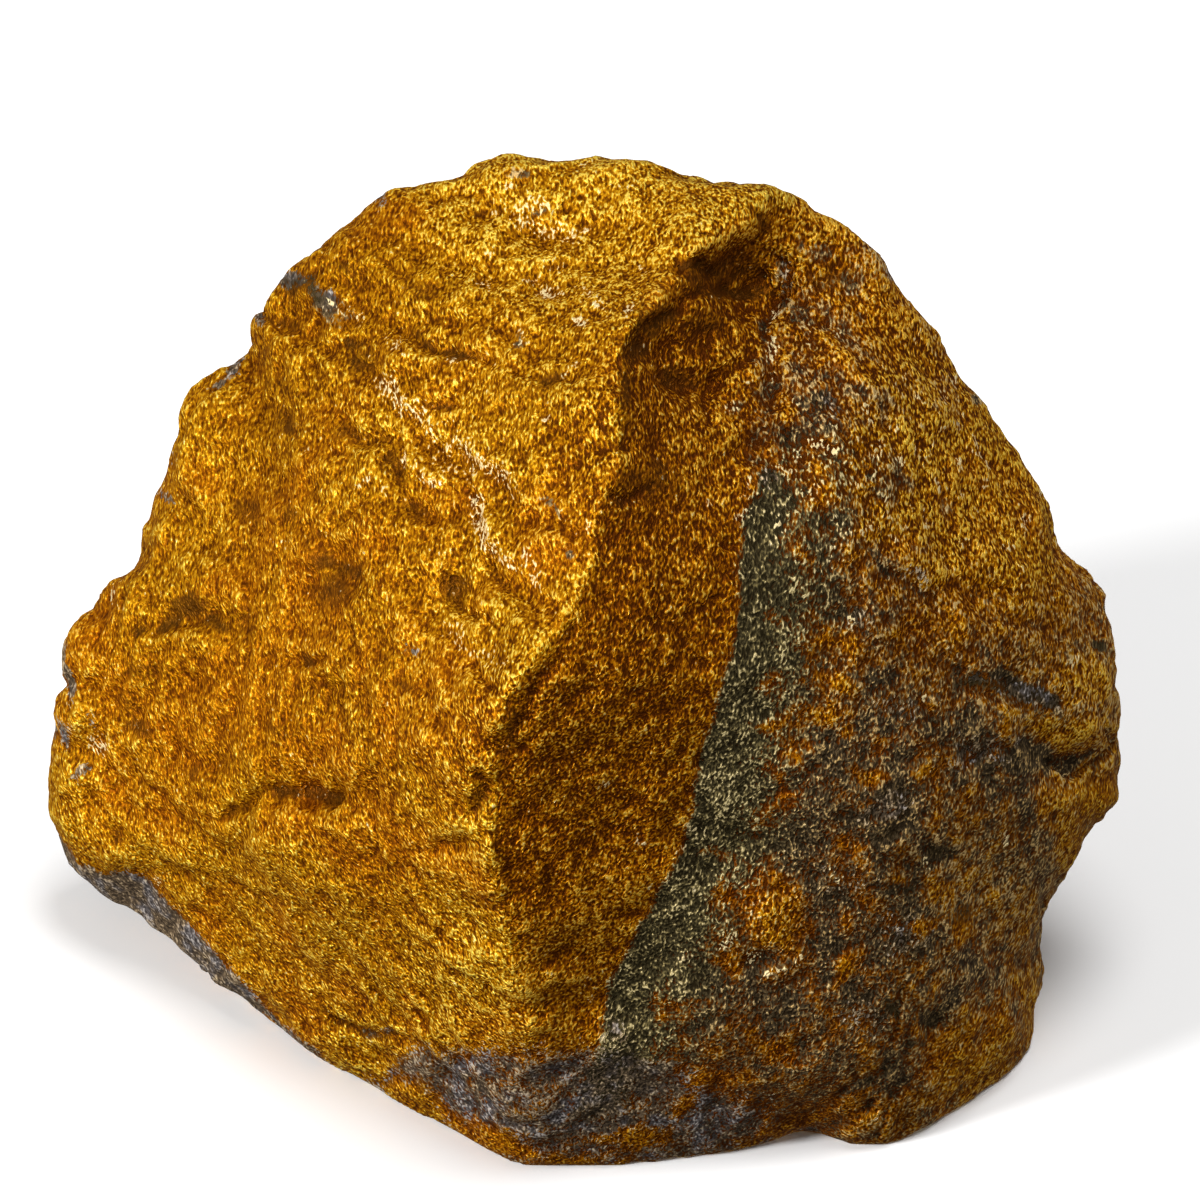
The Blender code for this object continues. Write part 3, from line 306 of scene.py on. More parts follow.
# Painted highlights: silvery flecks where the grains glint
HIGHLIGHT_SPOTS = [
    (-3.9, 25.6, 0.6, 0.35, -20, 0.9), (0.0, 26.7, 0.6, 0.3, -10, 0.6), (-3.3, 24.2, 0.9, 0.35, 0, 0.9),
    (-2.2, 23.2, 0.6, 0.6, 0, 0.7), (-0.7, 22.9, 0.9, 0.3, 30, 0.7), (-3.0, 20.9, 0.5, 0.35, 0, 0.9),
    (-1.9, 20.2, 0.7, 0.5, -20, 1.0), (0.5, 19.9, 0.5, 0.35, -20, 0.9), (1.8, 19.4, 0.4, 0.4, 0, 1.0),
    (-5.2, 20.9, 0.6, 0.35, -20, 0.8), (-3.1, 18.1, 0.4, 0.5, 0, 0.8), (-6.4, 16.7, 0.3, 0.6, 25, 0.9),
    (-9.7, 17.6, 0.7, 0.4, 0, 0.6), (-0.3, 16.7, 0.3, 0.3, 0, 0.9), (-0.3, 18.7, 0.26, 0.26, 0, 1.1),
    (-2.0, 13.9, 0.32, 0.26, -20, 1.2), (-0.8, 16.1, 0.25, 0.25, 0, 0.9), (-11.2, 10.7, 0.4, 0.35, 0, 0.8),
    (-10.1, 10.0, 0.28, 0.4, 0, 0.8), (-15.2, 8.1, 0.5, 0.35, 0, 0.6), (-13.9, 12.1, 0.35, 0.3, 0, 0.6),
    (-6.6, 3.4, 0.6, 0.9, 30, 0.6), (-4.2, 2.0, 0.7, 0.4, 0, 0.7), (-23.6, 5.0, 0.28, 0.4, 20, 1.0),
    (-24.5, -2.3, 0.35, 0.5, 0, 1.0), (-21.3, -9.1, 0.4, 0.3, 0, 0.7), (-12.6, 19.7, 0.5, 0.3, -38, 0.8),
    (-11.7, 19.0, 0.6, 0.3, -38, 0.7), (-7.6, 14.0, 0.4, 0.3, 0, 0.6), (-7.0, 14.0, 0.3, 0.25, 0, 0.8),
    (-1.1, 9.5, 0.4, 0.28, 0, 0.9), (-0.2, 8.4, 0.5, 0.3, 30, 0.7), (0.0, 7.2, 0.28, 0.28, 0, 0.8),
    (0.8, 9.7, 0.3, 0.25, 0, 0.7), (8.9, 16.1, 0.4, 0.26, 0, 1.1), (8.7, 21.2, 0.35, 0.3, 0, 0.9),
    (7.2, 14.6, 0.3, 0.3, 0, 0.9), (9.1, 18.9, 0.25, 0.5, -10, 1.0), (12.0, 18.3, 0.28, 0.35, 0, 0.9),
    (13.2, 20.1, 0.35, 0.3, 0, 0.9), (7.7, 9.2, 0.4, 0.28, 30, 1.0), (6.0, 9.8, 0.28, 0.4, 20, 0.8),
    (11.8, 7.2, 0.28, 0.45, 20, 0.9), (14.8, 10.0, 0.35, 0.5, 0, 0.8), (15.2, 7.8, 0.35, 0.25, 0, 0.9),
    (15.0, 13.6, 0.4, 0.35, 30, 0.8), (14.3, 12.4, 0.4, 0.5, 30, 0.8), (13.3, 10.5, 0.35, 0.4, 0, 0.7),
    (20.9, 7.9, 0.35, 0.3, 0, 0.9), (21.6, 8.7, 0.3, 0.28, 0, 0.9), (21.5, 6.5, 0.26, 0.6, 0, 0.7),
    (13.1, 4.0, 0.32, 0.28, 0, 1.1), (18.4, 2.4, 0.35, 0.28, 20, 1.0), (16.4, 0.1, 0.3, 0.3, 0, 1.0),
    (24.2, 1.7, 0.3, 0.28, 0, 0.8), (8.8, 0.4, 0.26, 0.4, 0, 0.8), (2.8, -6.6, 0.26, 0.26, 0, 0.9),
    (1.0, -3.9, 0.25, 0.25, 0, 0.8), (5.4, -6.1, 0.3, 0.3, 0, 0.9), (4.6, -7.1, 0.26, 0.45, -30, 1.1),
    (3.6, -9.3, 0.26, 0.26, 0, 0.9), (6.9, -11.6, 0.26, 0.45, -30, 1.1), (8.7, -10.3, 0.32, 0.32, 0, 1.1),
    (9.2, -13.3, 0.65, 0.32, 25, 1.3), (10.4, -12.6, 0.28, 0.5, -15, 1.1),
    (8.2, -12.1, 0.35, 0.26, 10, 0.9), (5.2, -12.5, 0.4, 0.3, -30, 0.8), (0.0, -13.4, 0.26, 0.35, 0, 0.8),
    (0.3, -14.4, 0.35, 0.5, -20, 0.6), (1.4, -16.9, 0.28, 0.35, 0, 1.0), (1.9, -16.0, 0.26, 0.4, -30, 0.9),
    (12.2, -8.5, 0.28, 0.4, 10, 0.8), (16.5, -7.7, 0.4, 0.35, 0, 0.9), (16.1, -9.9, 0.3, 0.28, 0, 0.8),
    (20.9, -6.7, 0.4, 0.25, 0, 1.2), (9.0, 17.6, 0.25, 0.9, -10, 0.9), (8.0, 16.0, 0.3, 0.4, 0, 0.8),
    (10.2, 15.0, 0.3, 0.4, 20, 0.8), (11.0, 17.8, 0.25, 0.6, 20, 0.7), (13.8, 14.6, 0.3, 0.5, 20, 0.7),
    (12.9, 13.4, 0.3, 0.4, 0, 0.7), (9.8, 11.6, 0.3, 0.5, 20, 0.9), (7.9, 10.4, 0.3, 0.7, 0, 0.9),
    (10.8, 10.2, 0.3, 0.5, 20, 0.7), (16.6, 12.0, 0.3, 0.5, 30, 0.7), (18.4, 10.0, 0.3, 0.4, 30, 0.7),
    (14.6, 16.6, 0.3, 0.4, 0, 0.6), (-2.4, 24.6, 1.2, 0.5, -10, 0.75), (-1.4, 21.6, 0.8, 0.5, 0, 0.7),
    (1.4, 25.4, 1.0, 0.4, 0, 0.65), (-0.2, 20.4, 0.6, 0.4, 0, 0.75), (3.0, 21.4, 0.6, 0.4, 30, 0.65),
    (-4.6, 22.2, 0.6, 0.4, 0, 0.65), (17.0, -3.4, 0.3, 0.28, 0, 0.7), (25.9, -2.0, 0.28, 0.28, 0, 0.8),
    (9.2, -15.0, 0.4, 0.26, 40, 0.6),
]
# Painted highlights: silvery streaks, most of them along the lit edges of scarps.
# The line (right, up), half its width, strength
HIGHLIGHT_STREAKS = [
    ([(-9.9, 15.8), (-9.4, 15.0), (-8.9, 14.6), (-8.2, 14.2), (-7.9, 13.6)], 0.6, 0.8),
    ([(-7.8, 13.0), (-7.0, 12.0), (-6.2, 11.2)], 0.9, 0.45),
    ([(-6.5, 12.5), (-6.0, 12.5), (-5.4, 11.9), (-4.9, 11.6), (-4.4, 11.4)], 0.55, 0.78),
    ([(-4.3, 11.2), (-3.8, 10.7), (-3.4, 10.2)], 0.45, 0.7),
    ([(-8.9, 12.0), (-8.4, 11.4), (-7.9, 11.0), (-7.2, 11.0), (-6.7, 11.6)], 0.4, 0.7),
    ([(-5.4, 9.9), (-5.2, 9.0), (-5.0, 8.3), (-4.9, 7.8), (-4.6, 7.6)], 0.4, 1.1),
    ([(-4.1, 7.2), (-3.6, 6.6), (-3.2, 7.0), (-3.0, 7.4)], 0.36, 0.8),
    ([(-2.7, 6.8), (-2.6, 6.2), (-2.3, 5.7)], 0.32, 0.8),
    ([(-6.8, 3.6), (-6.2, 2.8), (-5.4, 2.4), (-4.4, 2.2)], 0.5, 0.5),
    ([(-4.4, 24.4), (-3.2, 24.0), (-2.0, 23.2), (-0.8, 23.0)], 0.6, 0.6),
]
# Where the gold stays yellow, and where it turns rusty orange
YELLOW_SPOTS = [
    (-7.0, 12.6, 3.2, 1.6, -35, 0.9), (-4.8, 8.4, 1.5, 2.6, -10, 0.9), (-9.0, 15.0, 1.6, 1.0, -45, 0.9),
    (-5.6, 3.4, 2.4, 1.3, -30, 0.7), (-3.0, 24.0, 3.0, 2.4, 0, 0.6),
]
RUST_SPOTS = [
    (-18.0, 0.0, 4.6, 3.0, 10, 0.75), (-14.4, 2.6, 3.4, 2.2, 20, 0.7), (-22.6, -2.6, 3.0, 2.6, 0, 0.5),
    (-11.0, 7.6, 1.8, 1.6, 0, 0.8), (-9.0, -0.4, 3.2, 1.8, 0, 0.6), (-9.6, 24.4, 1.8, 0.9, 10, 0.8),
    (-11.0, 23.2, 1.8, 0.7, 35, 0.6), (1.4, 11.2, 0.7, 1.0, 0, 0.8), (-5.4, -1.0, 1.0, 2.6, 0, 0.7),
    (-4.8, -16.4, 2.4, 1.0, -10, 0.6), (-12.4, 14.4, 1.6, 0.9, 20, 0.6), (-20.6, -5.4, 3.0, 1.2, -10, 0.6),
    (1.6, 16.2, 0.9, 1.6, 0, 0.6), (1.4, -10.0, 1.6, 2.4, -20, 0.8), (3.6, -6.4, 1.0, 2.4, -20, 0.8),
    (2.2, -8.6, 1.8, 0.9, 20, 0.8), (6.2, 4.2, 0.9, 2.0, 0, 0.7), (5.4, 9.4, 1.0, 2.0, 0, 0.6),
    (12.6, 1.0, 1.0, 0.7, 0, 0.6), (12.6, 2.8, 1.0, 0.6, 0, 0.3), (9.4, -10.4, 1.6, 1.4, 0, 0.3),
    (6.4, -18.8, 1.4, 0.7, 5, 1.0), (5.1, -19.9, 0.9, 0.4, 38, 1.0), (2.4, -19.4, 0.6, 0.4, 0, 1.0),
    (12.5, -12.0, 0.6, 2.4, 0, 0.6), (12.2, -15.6, 1.4, 0.8, -20, 0.6), (16.6, -11.2, 1.4, 0.7, 0, 0.7),
    (9.6, -17.4, 1.4, 0.8, 0, 0.9), (18.0, 1.6, 2.4, 0.8, -10, 0.3), (20.4, -10.6, 1.6, 1.6, 0, 0.3),
    (13.8, -16.8, 1.8, 1.8, 0, 0.5), (19.0, -16.0, 3.2, 3.0, 0, 0.3), (15.4, -5.8, 0.8, 0.5, 0, 0.3),
    (14.6, -19.8, 2.4, 0.9, 20, 0.6), (8.8, -19.4, 2.0, 0.6, 25, 0.8), (16.8, -5.0, 0.8, 1.2, -20, 0.3),
]
# Zones of the shown side: right, up, how lively the grain is, how pale the rock is, how much of it is grey.
# How pale holds the rock's own tone and painted shade: low on the shaded band past the ridge, lowest in the
# hollow under the ridge's top. The grain is livelier on the shaded faces, where its bright strokes stand in
# for glints as painted light.
ZONES = [
    # the lit gold face
    (-2.0, 22.0, 0.58, 0.58, 0.0), (-2.0, 25.0, 0.6, 0.61, 0.0), (4.0, 24.0, 0.64, 0.59, 0.0),
    (2.5, 20.8, 0.64, 0.58, 0.0), (-12.0, 20.0, 0.47, 0.43, 0.0), (-9.0, 16.5, 0.54, 0.47, 0.0),
    (-4.0, 15.0, 0.52, 0.51, 0.0), (-1.0, 17.5, 0.56, 0.53, 0.0), (-15.0, 12.0, 0.46, 0.49, 0.0),
    (-8.0, 9.0, 0.5, 0.45, 0.0), (-7.0, 13.5, 0.54, 0.56, 0.0), (-2.0, 9.0, 0.54, 0.5, 0.0),
    (-18.0, 5.0, 0.44, 0.5, 0.0), (-14.0, 8.0, 0.46, 0.55, 0.0), (-7.0, 3.0, 0.5, 0.58, 0.0),
    (-17.0, -2.0, 0.43, 0.49, 0.0), (-10.0, -5.0, 0.49, 0.51, 0.0), (-5.0, -14.0, 0.64, 0.6, 0.0),
    (-12.0, -17.0, 0.57, 0.49, 0.0), (-19.0, -9.0, 0.46, 0.56, 0.0), (-10.0, 4.0, 0.48, 0.46, 0.0),
    (-13.5, -12.5, 0.52, 0.57, 0.0), (-2.4, 4.6, 0.54, 0.54, 0.0), (-19.0, 8.6, 0.44, 0.56, 0.0),
    (-6.6, -8.0, 0.54, 0.62, 0.0), (-9.4, -8.4, 0.5, 0.44, 0.0), (-22.0, 3.4, 0.44, 0.46, 0.0),
    (-24.6, 0.4, 0.46, 0.58, 0.0),
    # the brown band past the ridge, painted darker as shade, darkest in the hollow under the ridge's top
    (7.0, 23.5, 0.74, 0.53, 0.0), (6.5, 20.0, 0.88, 0.09, 0.0), (4.0, 17.0, 0.8, 0.18, 0.0),
    (2.6, 13.0, 0.76, 0.26, 0.0), (5.4, 12.6, 0.84, 0.43, 0.0), (2.4, 9.0, 0.74, 0.19, 0.0),
    (5.2, 7.0, 0.82, 0.29, 0.0), (2.0, 3.4, 0.76, 0.23, 0.0), (-2.2, -0.6, 0.74, 0.3, 0.0),
    (2.4, -3.0, 0.76, 0.33, 0.0), (-2.6, -8.0, 0.74, 0.26, 0.0), (1.0, -11.0, 0.76, 0.48, 0.0),
    (6.2, 18.4, 0.84, 0.12, 0.1), (5.2, 1.2, 0.74, 0.24, 0.2),
    # the right-hand faces, whose paleness is partly lowered as painted shade
    (8.6, 17.5, 0.94, 0.34, 0.38), (12.0, 20.0, 0.96, 0.34, 0.43), (10.5, 14.8, 1.0, 0.27, 0.46),
    (14.0, 15.6, 1.0, 0.39, 0.38), (13.6, 11.4, 0.98, 0.33, 0.44), (17.0, 13.0, 0.94, 0.53, 0.26),
    (20.5, 12.5, 0.86, 0.52, 0.08), (9.6, 6.5, 0.72, 0.24, 0.5), (11.4, 8.8, 0.84, 0.2, 0.46),
    (16.5, 7.6, 0.96, 0.53, 0.32), (21.0, 9.0, 0.84, 0.49, 0.15), (15.0, 4.0, 0.84, 0.28, 0.52),
    (20.0, 3.4, 0.8, 0.35, 0.36), (24.6, 4.0, 0.74, 0.46, 0.05), (7.6, 2.0, 0.68, 0.38, 0.5),
    (7.6, -4.0, 0.7, 0.5, 0.55), (10.6, -4.0, 0.74, 0.23, 0.64), (12.0, 0.0, 0.8, 0.36, 0.58),
    (17.0, -2.0, 0.74, 0.35, 0.58), (23.0, -1.0, 0.68, 0.45, 0.54), (25.6, -4.6, 0.6, 0.46, 0.15),
    (11.0, -8.0, 0.74, 0.33, 0.62), (16.0, -8.0, 0.7, 0.37, 0.66), (22.0, -9.0, 0.7, 0.57, 0.54),
    (8.0, -14.0, 0.7, 0.32, 0.62), (13.0, -12.0, 0.7, 0.29, 0.64), (4.0, -14.0, 0.68, 0.33, 0.58),
    (19.0, -14.0, 0.66, 0.5, 0.56), (14.0, -18.0, 0.64, 0.41, 0.56), (20.5, -18.0, 0.62, 0.52, 0.46),
    (18.4, -8.4, 0.7, 0.64, 0.5), (14.0, -7.6, 0.7, 0.3, 0.62), (25.8, 0.6, 0.8, 0.62, 0.05),
    (11.0, 23.4, 0.84, 0.54, 0.16), (15.4, 18.6, 0.94, 0.52, 0.24), (11.4, 11.8, 0.94, 0.2, 0.5),
    (12.0, 5.4, 0.82, 0.36, 0.5), (17.6, -20.4, 0.62, 0.5, 0.4), (23.9, -1.8, 0.8, 0.6, 0.1),
    (20.6, -5.0, 0.7, 0.36, 0.6), (13.6, -20.8, 0.64, 0.28, 0.45), (8.4, -0.2, 0.7, 0.43, 0.5),
    (6.2, -7.4, 0.7, 0.42, 0.55), (0.6, -14.6, 0.68, 0.51, 0.3), (6.0, -17.6, 0.66, 0.31, 0.5),
    # the underside's edge
    (0.0, -22.6, 0.6, 0.29, 0.0), (-5.4, -21.4, 0.6, 0.37, 0.0), (6.4, -22.6, 0.6, 0.34, 0.0),
    (-3.0, -19.6, 0.62, 0.49, 0.0), (2.0, -19.6, 0.62, 0.46, 0.0), (6.0, -21.0, 0.62, 0.42, 0.0),
]
LIVELY, PALE_AND_SHADE, GREY = 2, 3, 4  # where a zone holds them
ZONE_REACH = 2.4
# Noise behind the marks: wavelength and seed
BROAD_PATCHES = (7.0, 21.0)
SMALL_PATCHES = (2.6, 25.0)
MOTTLING = (1.3, 29.0)
GLINTS = (0.9, 45.0)
HIDDEN_STAINS = (2.2, 37.0)
HIDDEN_HIGHLIGHTS = (1.4, 41.0)
HIDDEN_FILM = [(6.5, 31.0, 1.0), (2.0, 33.0, 0.45), (0.9, 35.0, 0.25)]  # wavelength, seed, share
RELIEF_SHADE_RANGE = 0.16  # painted shade: from a fully sunken, darkest point to a fully standing-out, brightest one
RELIEF_SHADE_BLUR = 6  # passes that smooth its surroundings


def smooth_step(value, low, high):
    """0 below low, 1 above high, and smooth between."""
    t = np.clip((value - low) / (high - low), 0.0, 1.0)
    return t * t * (3.0 - 2.0 * t)


def noise_at(places, wavelength, seed=0.0):
    """Smooth noise from about -1 to 1 at each place. Each seed gives another noise."""
    offset = Vector((seed, 0.37 * seed, 0.71 * seed))
    return np.array([noise.noise(Vector(p) / wavelength + offset) for p in places])


def line_distance(flat, line):
    """Each drawing point's distance from a line, and its side: 1 to the line's left as it runs, else -1."""
    nearest = np.full(len(flat), 1e9)
    side = np.ones(len(flat))
    for start, end in zip(np.array(line)[:-1], np.array(line)[1:]):
        along = end - start
        offset = flat - start
        share = np.clip(offset @ along / (along @ along), 0.0, 1.0)
        offset = offset - share[:, None] * along
        length = np.linalg.norm(offset, axis=1)
        closer = length < nearest
        nearest = np.where(closer, length, nearest)
        side = np.where(closer, np.sign(along[0] * offset[:, 1] - along[1] * offset[:, 0]), side)
    return nearest, side


def past(flat, line):
    """How far each drawing point lies to the left of a line as it runs. It is below 0 on the line's right."""
    distance, side = line_distance(flat, line)
    return distance * side


def spotted(flat, spots):
    """The strongest spot at each drawing point, fading out from each spot's middle."""
    most = np.zeros(len(flat))
    for right, up, half_length, half_width, turn, strength in spots:
        offset = flat - np.array([right, up])
        c, s = math.cos(math.radians(turn)), math.sin(math.radians(turn))
        along = (offset[:, 0] * c + offset[:, 1] * s) / half_length
        across = (-offset[:, 0] * s + offset[:, 1] * c) / half_width
        most = np.maximum(most, strength * (1.0 - smooth_step(np.hypot(along, across), *SPOT_FADE)))
    return most


def warped(flat, places):
    """The drawing points moved about by noise, so that round spots come out ragged."""
    moved = flat.copy()
    for wavelength, reach in WARPS:
        for i in range(2):
            moved[:, i] += reach * noise_at(places, wavelength, WARP_SEED + 10.0 * i + wavelength)
    return moved


def select_only(obj):
    bpy.ops.object.select_all(action="DESELECT")
    obj.select_set(True)
    bpy.context.view_layer.objects.active = obj


def apply_modifier(obj, kind, **settings):
    """Adds one modifier with its settings and applies it."""
    modifier = obj.modifiers.new(kind.lower(), kind)
    for name, value in settings.items():
        setattr(modifier, name, value)
    select_only(obj)
    bpy.ops.object.modifier_apply(modifier=modifier.name)


def fine_copy(node, name):
    """A copy of a solid as one even, fine mesh with its facets worn off."""
    stone = bpy.data.objects.new(name, node.data.copy())
    bpy.context.scene.collection.objects.link(stone)
    stone.data.name = name
    select_only(stone)
    bpy.ops.object.mode_set(mode="EDIT")
    bpy.ops.mesh.select_all(action="SELECT")
    bpy.ops.mesh.remove_doubles(threshold=1e-6)
    bpy.ops.object.mode_set(mode="OBJECT")
    apply_modifier(stone, "REMESH", mode="VOXEL", voxel_size=GRID * MM, adaptivity=0.0)
    apply_modifier(stone, "SMOOTH", factor=0.5, iterations=FACET_WEAR)
    return stone


class Surface:
    """The stone's mesh points as arrays, in millimetres, with their place in the drawing."""

    def __init__(self, mesh):
        count = len(mesh.vertices)
        places = np.empty(count * 3, np.float32)
        mesh.vertices.foreach_get("co", places)
        normals = np.empty(count * 3, np.float32)
        mesh.vertex_normals.foreach_get("vector", normals)
        edges = np.empty(len(mesh.edges) * 2, np.int32)
        mesh.edges.foreach_get("vertices", edges)
        self.places = places.reshape(-1, 3).astype(float) / MM
        self.normals = normals.reshape(-1, 3).astype(float)
        self.edges = edges.reshape(-1, 2)
        self.links = np.bincount(edges, minlength=count)[:, None]
        from_middle = self.places - DRAWING_MIDDLE
        self.seen = np.stack([from_middle @ RIGHT, from_middle @ UP, from_middle @ NEAR], axis=1)
        self.flat = self.seen[:, :2]
        self.facing = self.normals @ NEAR

    def blurred(self, values, passes):
        """The values after each point has moved half way to its neighbours' mean, passes times."""
        values = values if values.ndim == 2 else values[:, None]
        a, b = self.edges.T
        for _ in range(passes):
            total = np.zeros_like(values)
            np.add.at(total, a, values[b])
            np.add.at(total, b, values[a])
            values = 0.5 * values + 0.5 * total / self.links
        return values


def flakes(seen, wavelength, plates, rise, seed):
    """Height of tilted plates with a ragged scarp at the edge of each."""
    length = np.linalg.norm(GRAIN_RUN)
    along = seen @ GRAIN_RUN / length
    stretched = seen - (1.0 - GRAIN_STRETCH) * along[:, None] * GRAIN_RUN / length
    ragged_wavelength, ragged_reach = RAGGED_SCARPS
    raggedness = ragged_reach * noise_at(seen, ragged_wavelength, seed + 3.0)
    field = plates * noise_at(stretched, wavelength, seed) + raggedness
    part = field - np.floor(field)
    return rise * (smooth_step(part, *SCARP_STRETCH) - part)


def plated_share(surface):
    """How much of the flakes' height each point gets."""
    past_ridge = past(surface.flat, RIDGE) * smooth_step(surface.facing, -0.2, 0.2)
    on_shown = PLATED_SHOWN - LESS_PAST_RIDGE * smooth_step(past_ridge, -0.4, 0.8)
    share = np.where(surface.facing > 0.0, on_shown, PLATED_HIDDEN)
    return surface.blurred(share, PLATED_BLUR)[:, 0]


def pits(places):
    """Height of the small round pits, and of the round grains that stand up between them."""
    height = np.zeros(len(places))
    for i, place in enumerate(places):
        distances, middles = noise.voronoi(Vector(place) / PIT_SPACING)
        luck = noise.cell(middles[0] * LUCK_SPREAD)
        radius = PIT_RADIUS + PIT_WIDENING * max(0.0, luck - PIT_WIDENS_FROM)
        height[i] = -PIT_DEPTH * luck * max(0.0, 1.0 - distances[0] / radius) ** PIT_WALL
    return height


def cracks_and_scarps(flat):
    """Height of the shown side's cracks, hollows and small scarps."""
    height = np.zeros(len(flat))
    for line, half_width, depth in CRACKS:
        distance, _ = line_distance(flat, line)
        height -= depth * (1.0 - smooth_step(distance, 0.0, CRACK_FADE * half_width))
    for hollow in HOLLOWS:
        height -= spotted(flat, [hollow])
    for line, drop in SCARPS:
        distance, side = line_distance(flat, line)
        below = 0.5 * (1.0 - side * smooth_step(distance, 0.0, SCARP_WALL))
        height -= drop * below * (1.0 - smooth_step(distance, SCARP_WALL, SCARP_END))
    return height


def kept_on_ground(surface, height):
    """The relief, faded out at the ground, and on the foot only ever upwards into the stone."""
    on_foot = (surface.normals[:, 2] < FOOT_FACING) & (surface.places[:, 2] < FOOT_BAND)
    height = np.where(on_foot, np.minimum(height - FOOT_GAP, 0.0), height)
    return height * np.where(on_foot, 1.0, smooth_step(surface.places[:, 2], 0.0, GROUND_FADE))


def roughen(stone):
    """Gives the stone its fine relief, which stays above the ground. Returns the surface as it ends."""
    surface = Surface(stone.data)
    height = sum(rise * noise_at(surface.places, wave, LUMP_SEED + wave) for wave, rise in LUMPS)
    share = plated_share(surface)
    for wavelength, plates, rise, seed in FLAKES:
        height += share * flakes(surface.seen, wavelength, plates, rise, seed)
    height += pits(surface.places)
    ragged = warped(surface.flat, surface.places)
    flat = (1.0 - RELIEF_WARP) * surface.flat + RELIEF_WARP * ragged
    height += cracks_and_scarps(flat) * smooth_step(surface.facing, *SHOWN)
    edge_forms = spotted(surface.flat, SWELLS) - spotted(surface.flat, TAKEN_IN)
    height += edge_forms * smooth_step(surface.facing, *RIM_SHOWN)
    height = kept_on_ground(surface, height)
    moved = surface.places + surface.normals * height[:, None]
    moved[:, 2] = np.maximum(moved[:, 2], 0.0)
    stone.data.vertices.foreach_set("co", (moved * MM).astype(np.float32).ravel())
    stone.data.update()
    return Surface(stone.data)


def write_attribute(mesh, name, channels):
    """Stores up to four arrays as one colour on each point, for the finish to read."""
    layer = mesh.color_attributes.new(name=name, type="FLOAT_COLOR", domain="POINT")
    values = np.zeros((len(mesh.vertices), 4), np.float32)
    for i, channel in enumerate(channels):
        values[:, i] = np.clip(channel, 0.0, 1.0)
    layer.data.foreach_set("color", values.ravel())


def zoned(flat, column):
    """One value of ZONES at each drawing point, blended between the zones around it."""
    total = np.zeros(len(flat))
    weight = np.zeros(len(flat))
    for zone in ZONES:
        near = 1.0 / (1.0 + np.sum((flat - np.array(zone[:2])) ** 2, axis=1) / ZONE_REACH ** 2) ** 3
        total += near * zone[column]
        weight += near
    return total / weight


class Marks:
    """What the marks are made from: drawing points, plain and ragged, noises, and the grey rock's edge."""

    def __init__(self, surface):
        self.places = surface.places
        self.flat = surface.flat
        self.ragged = warped(surface.flat, surface.places)
        self.right, self.up = self.ragged.T
        self.shown = smooth_step(surface.facing, *SHOWN)
        self.broad = noise_at(surface.places, *BROAD_PATCHES)
        self.small = noise_at(surface.places, *SMALL_PATCHES)
        self.past_edge = past(self.partly_ragged(0.5), GREY_EDGE)

    def partly_ragged(self, share):
        """The drawing points with a share of their wandering."""
        return share * self.ragged + (1.0 - share) * self.flat

    def spots(self, table):
        return spotted(self.ragged, table)

    def shown_or_hidden(self, on_shown, on_hidden):
        return self.shown * on_shown + (1.0 - self.shown) * on_hidden


def grey_marks(marks):
    """Grey rock: a fresh sliver with a sharp edge, mottling and spots, and the hidden side's patches."""
    sliver = smooth_step(marks.past_edge, -0.35, 0.5)
    thins_out = 1.0 - 0.55 * smooth_step(marks.past_edge, 1.0, 4.5)
    ends_at_top = smooth_step(12.5 - marks.up, 0.0, 3.0)
    narrows_upwards = 1.0 - 0.8 * smooth_step(marks.up, 5.0, 8.5) * smooth_step(marks.past_edge, 1.2, 2.8)
    fresh = sliver * thins_out * ends_at_top * narrows_upwards
    mottled = zoned(marks.flat, GREY) + 0.26 * marks.small + 0.3 * noise_at(marks.places, *MOTTLING)
    mottled *= smooth_step(past(marks.ragged, MOTTLED_EDGE), 0.0, 1.0)
    grey = np.maximum(np.maximum(fresh, mottled), marks.spots(GREY_SPOTS))
    grey *= 1.0 - 0.6 * marks.spots(BROWN_SPOTS)
    return marks.shown_or_hidden(grey, 0.3 + 0.45 * marks.broad + 0.2 * marks.small)


def film_marks(marks):
    """Blue-grey film: the underside's, which is softer and thinner to the right, spots, and hidden clouds."""
    above_edge = past(marks.partly_ragged(0.3), BLUE_EDGE)
    softness = 0.25 + 1.2 * smooth_step(marks.right, -12.0, -6.0)
    thickest = 1.0 - 0.36 * smooth_step(marks.right, -14.0, -8.0)
    film = np.clip(0.5 - 0.5 * above_edge / softness, 0.0, thickest)
    film *= 1.0 - 0.8 * marks.spots(BROWN_SPOTS)
    clouds = sum(share * noise_at(marks.places, wavelength, seed) for wavelength, seed, share in HIDDEN_FILM)
    hidden_film = 0.62 * smooth_step(clouds, 0.1, 0.75)
    return marks.shown_or_hidden(np.maximum(film, marks.spots(BLUE_SPOTS)), hidden_film)


def stain_and_shade_marks(marks):
    """Olive-brown stains and painted shade at their own places, and stains in spots on the hidden side."""
    hidden_stains = 0.6 * smooth_step(noise_at(marks.places, *HIDDEN_STAINS), 0.3, 0.6)
    return marks.shown_or_hidden(marks.spots(STAINS_AND_SHADE), hidden_stains)


def placed_highlights(marks):
    """The painted highlights that have their own places: silvery flecks and streaks."""
    streaks = marks.spots(HIGHLIGHT_SPOTS)
    points = marks.partly_ragged(0.4)
    for line, half_width, strength in HIGHLIGHT_STREAKS:
        distance, _ = line_distance(points, line)
        beside = smooth_step(distance, 0.3 * half_width, 1.6 * half_width)
        streaks = np.maximum(streaks, strength * (1.0 - beside))
    return streaks


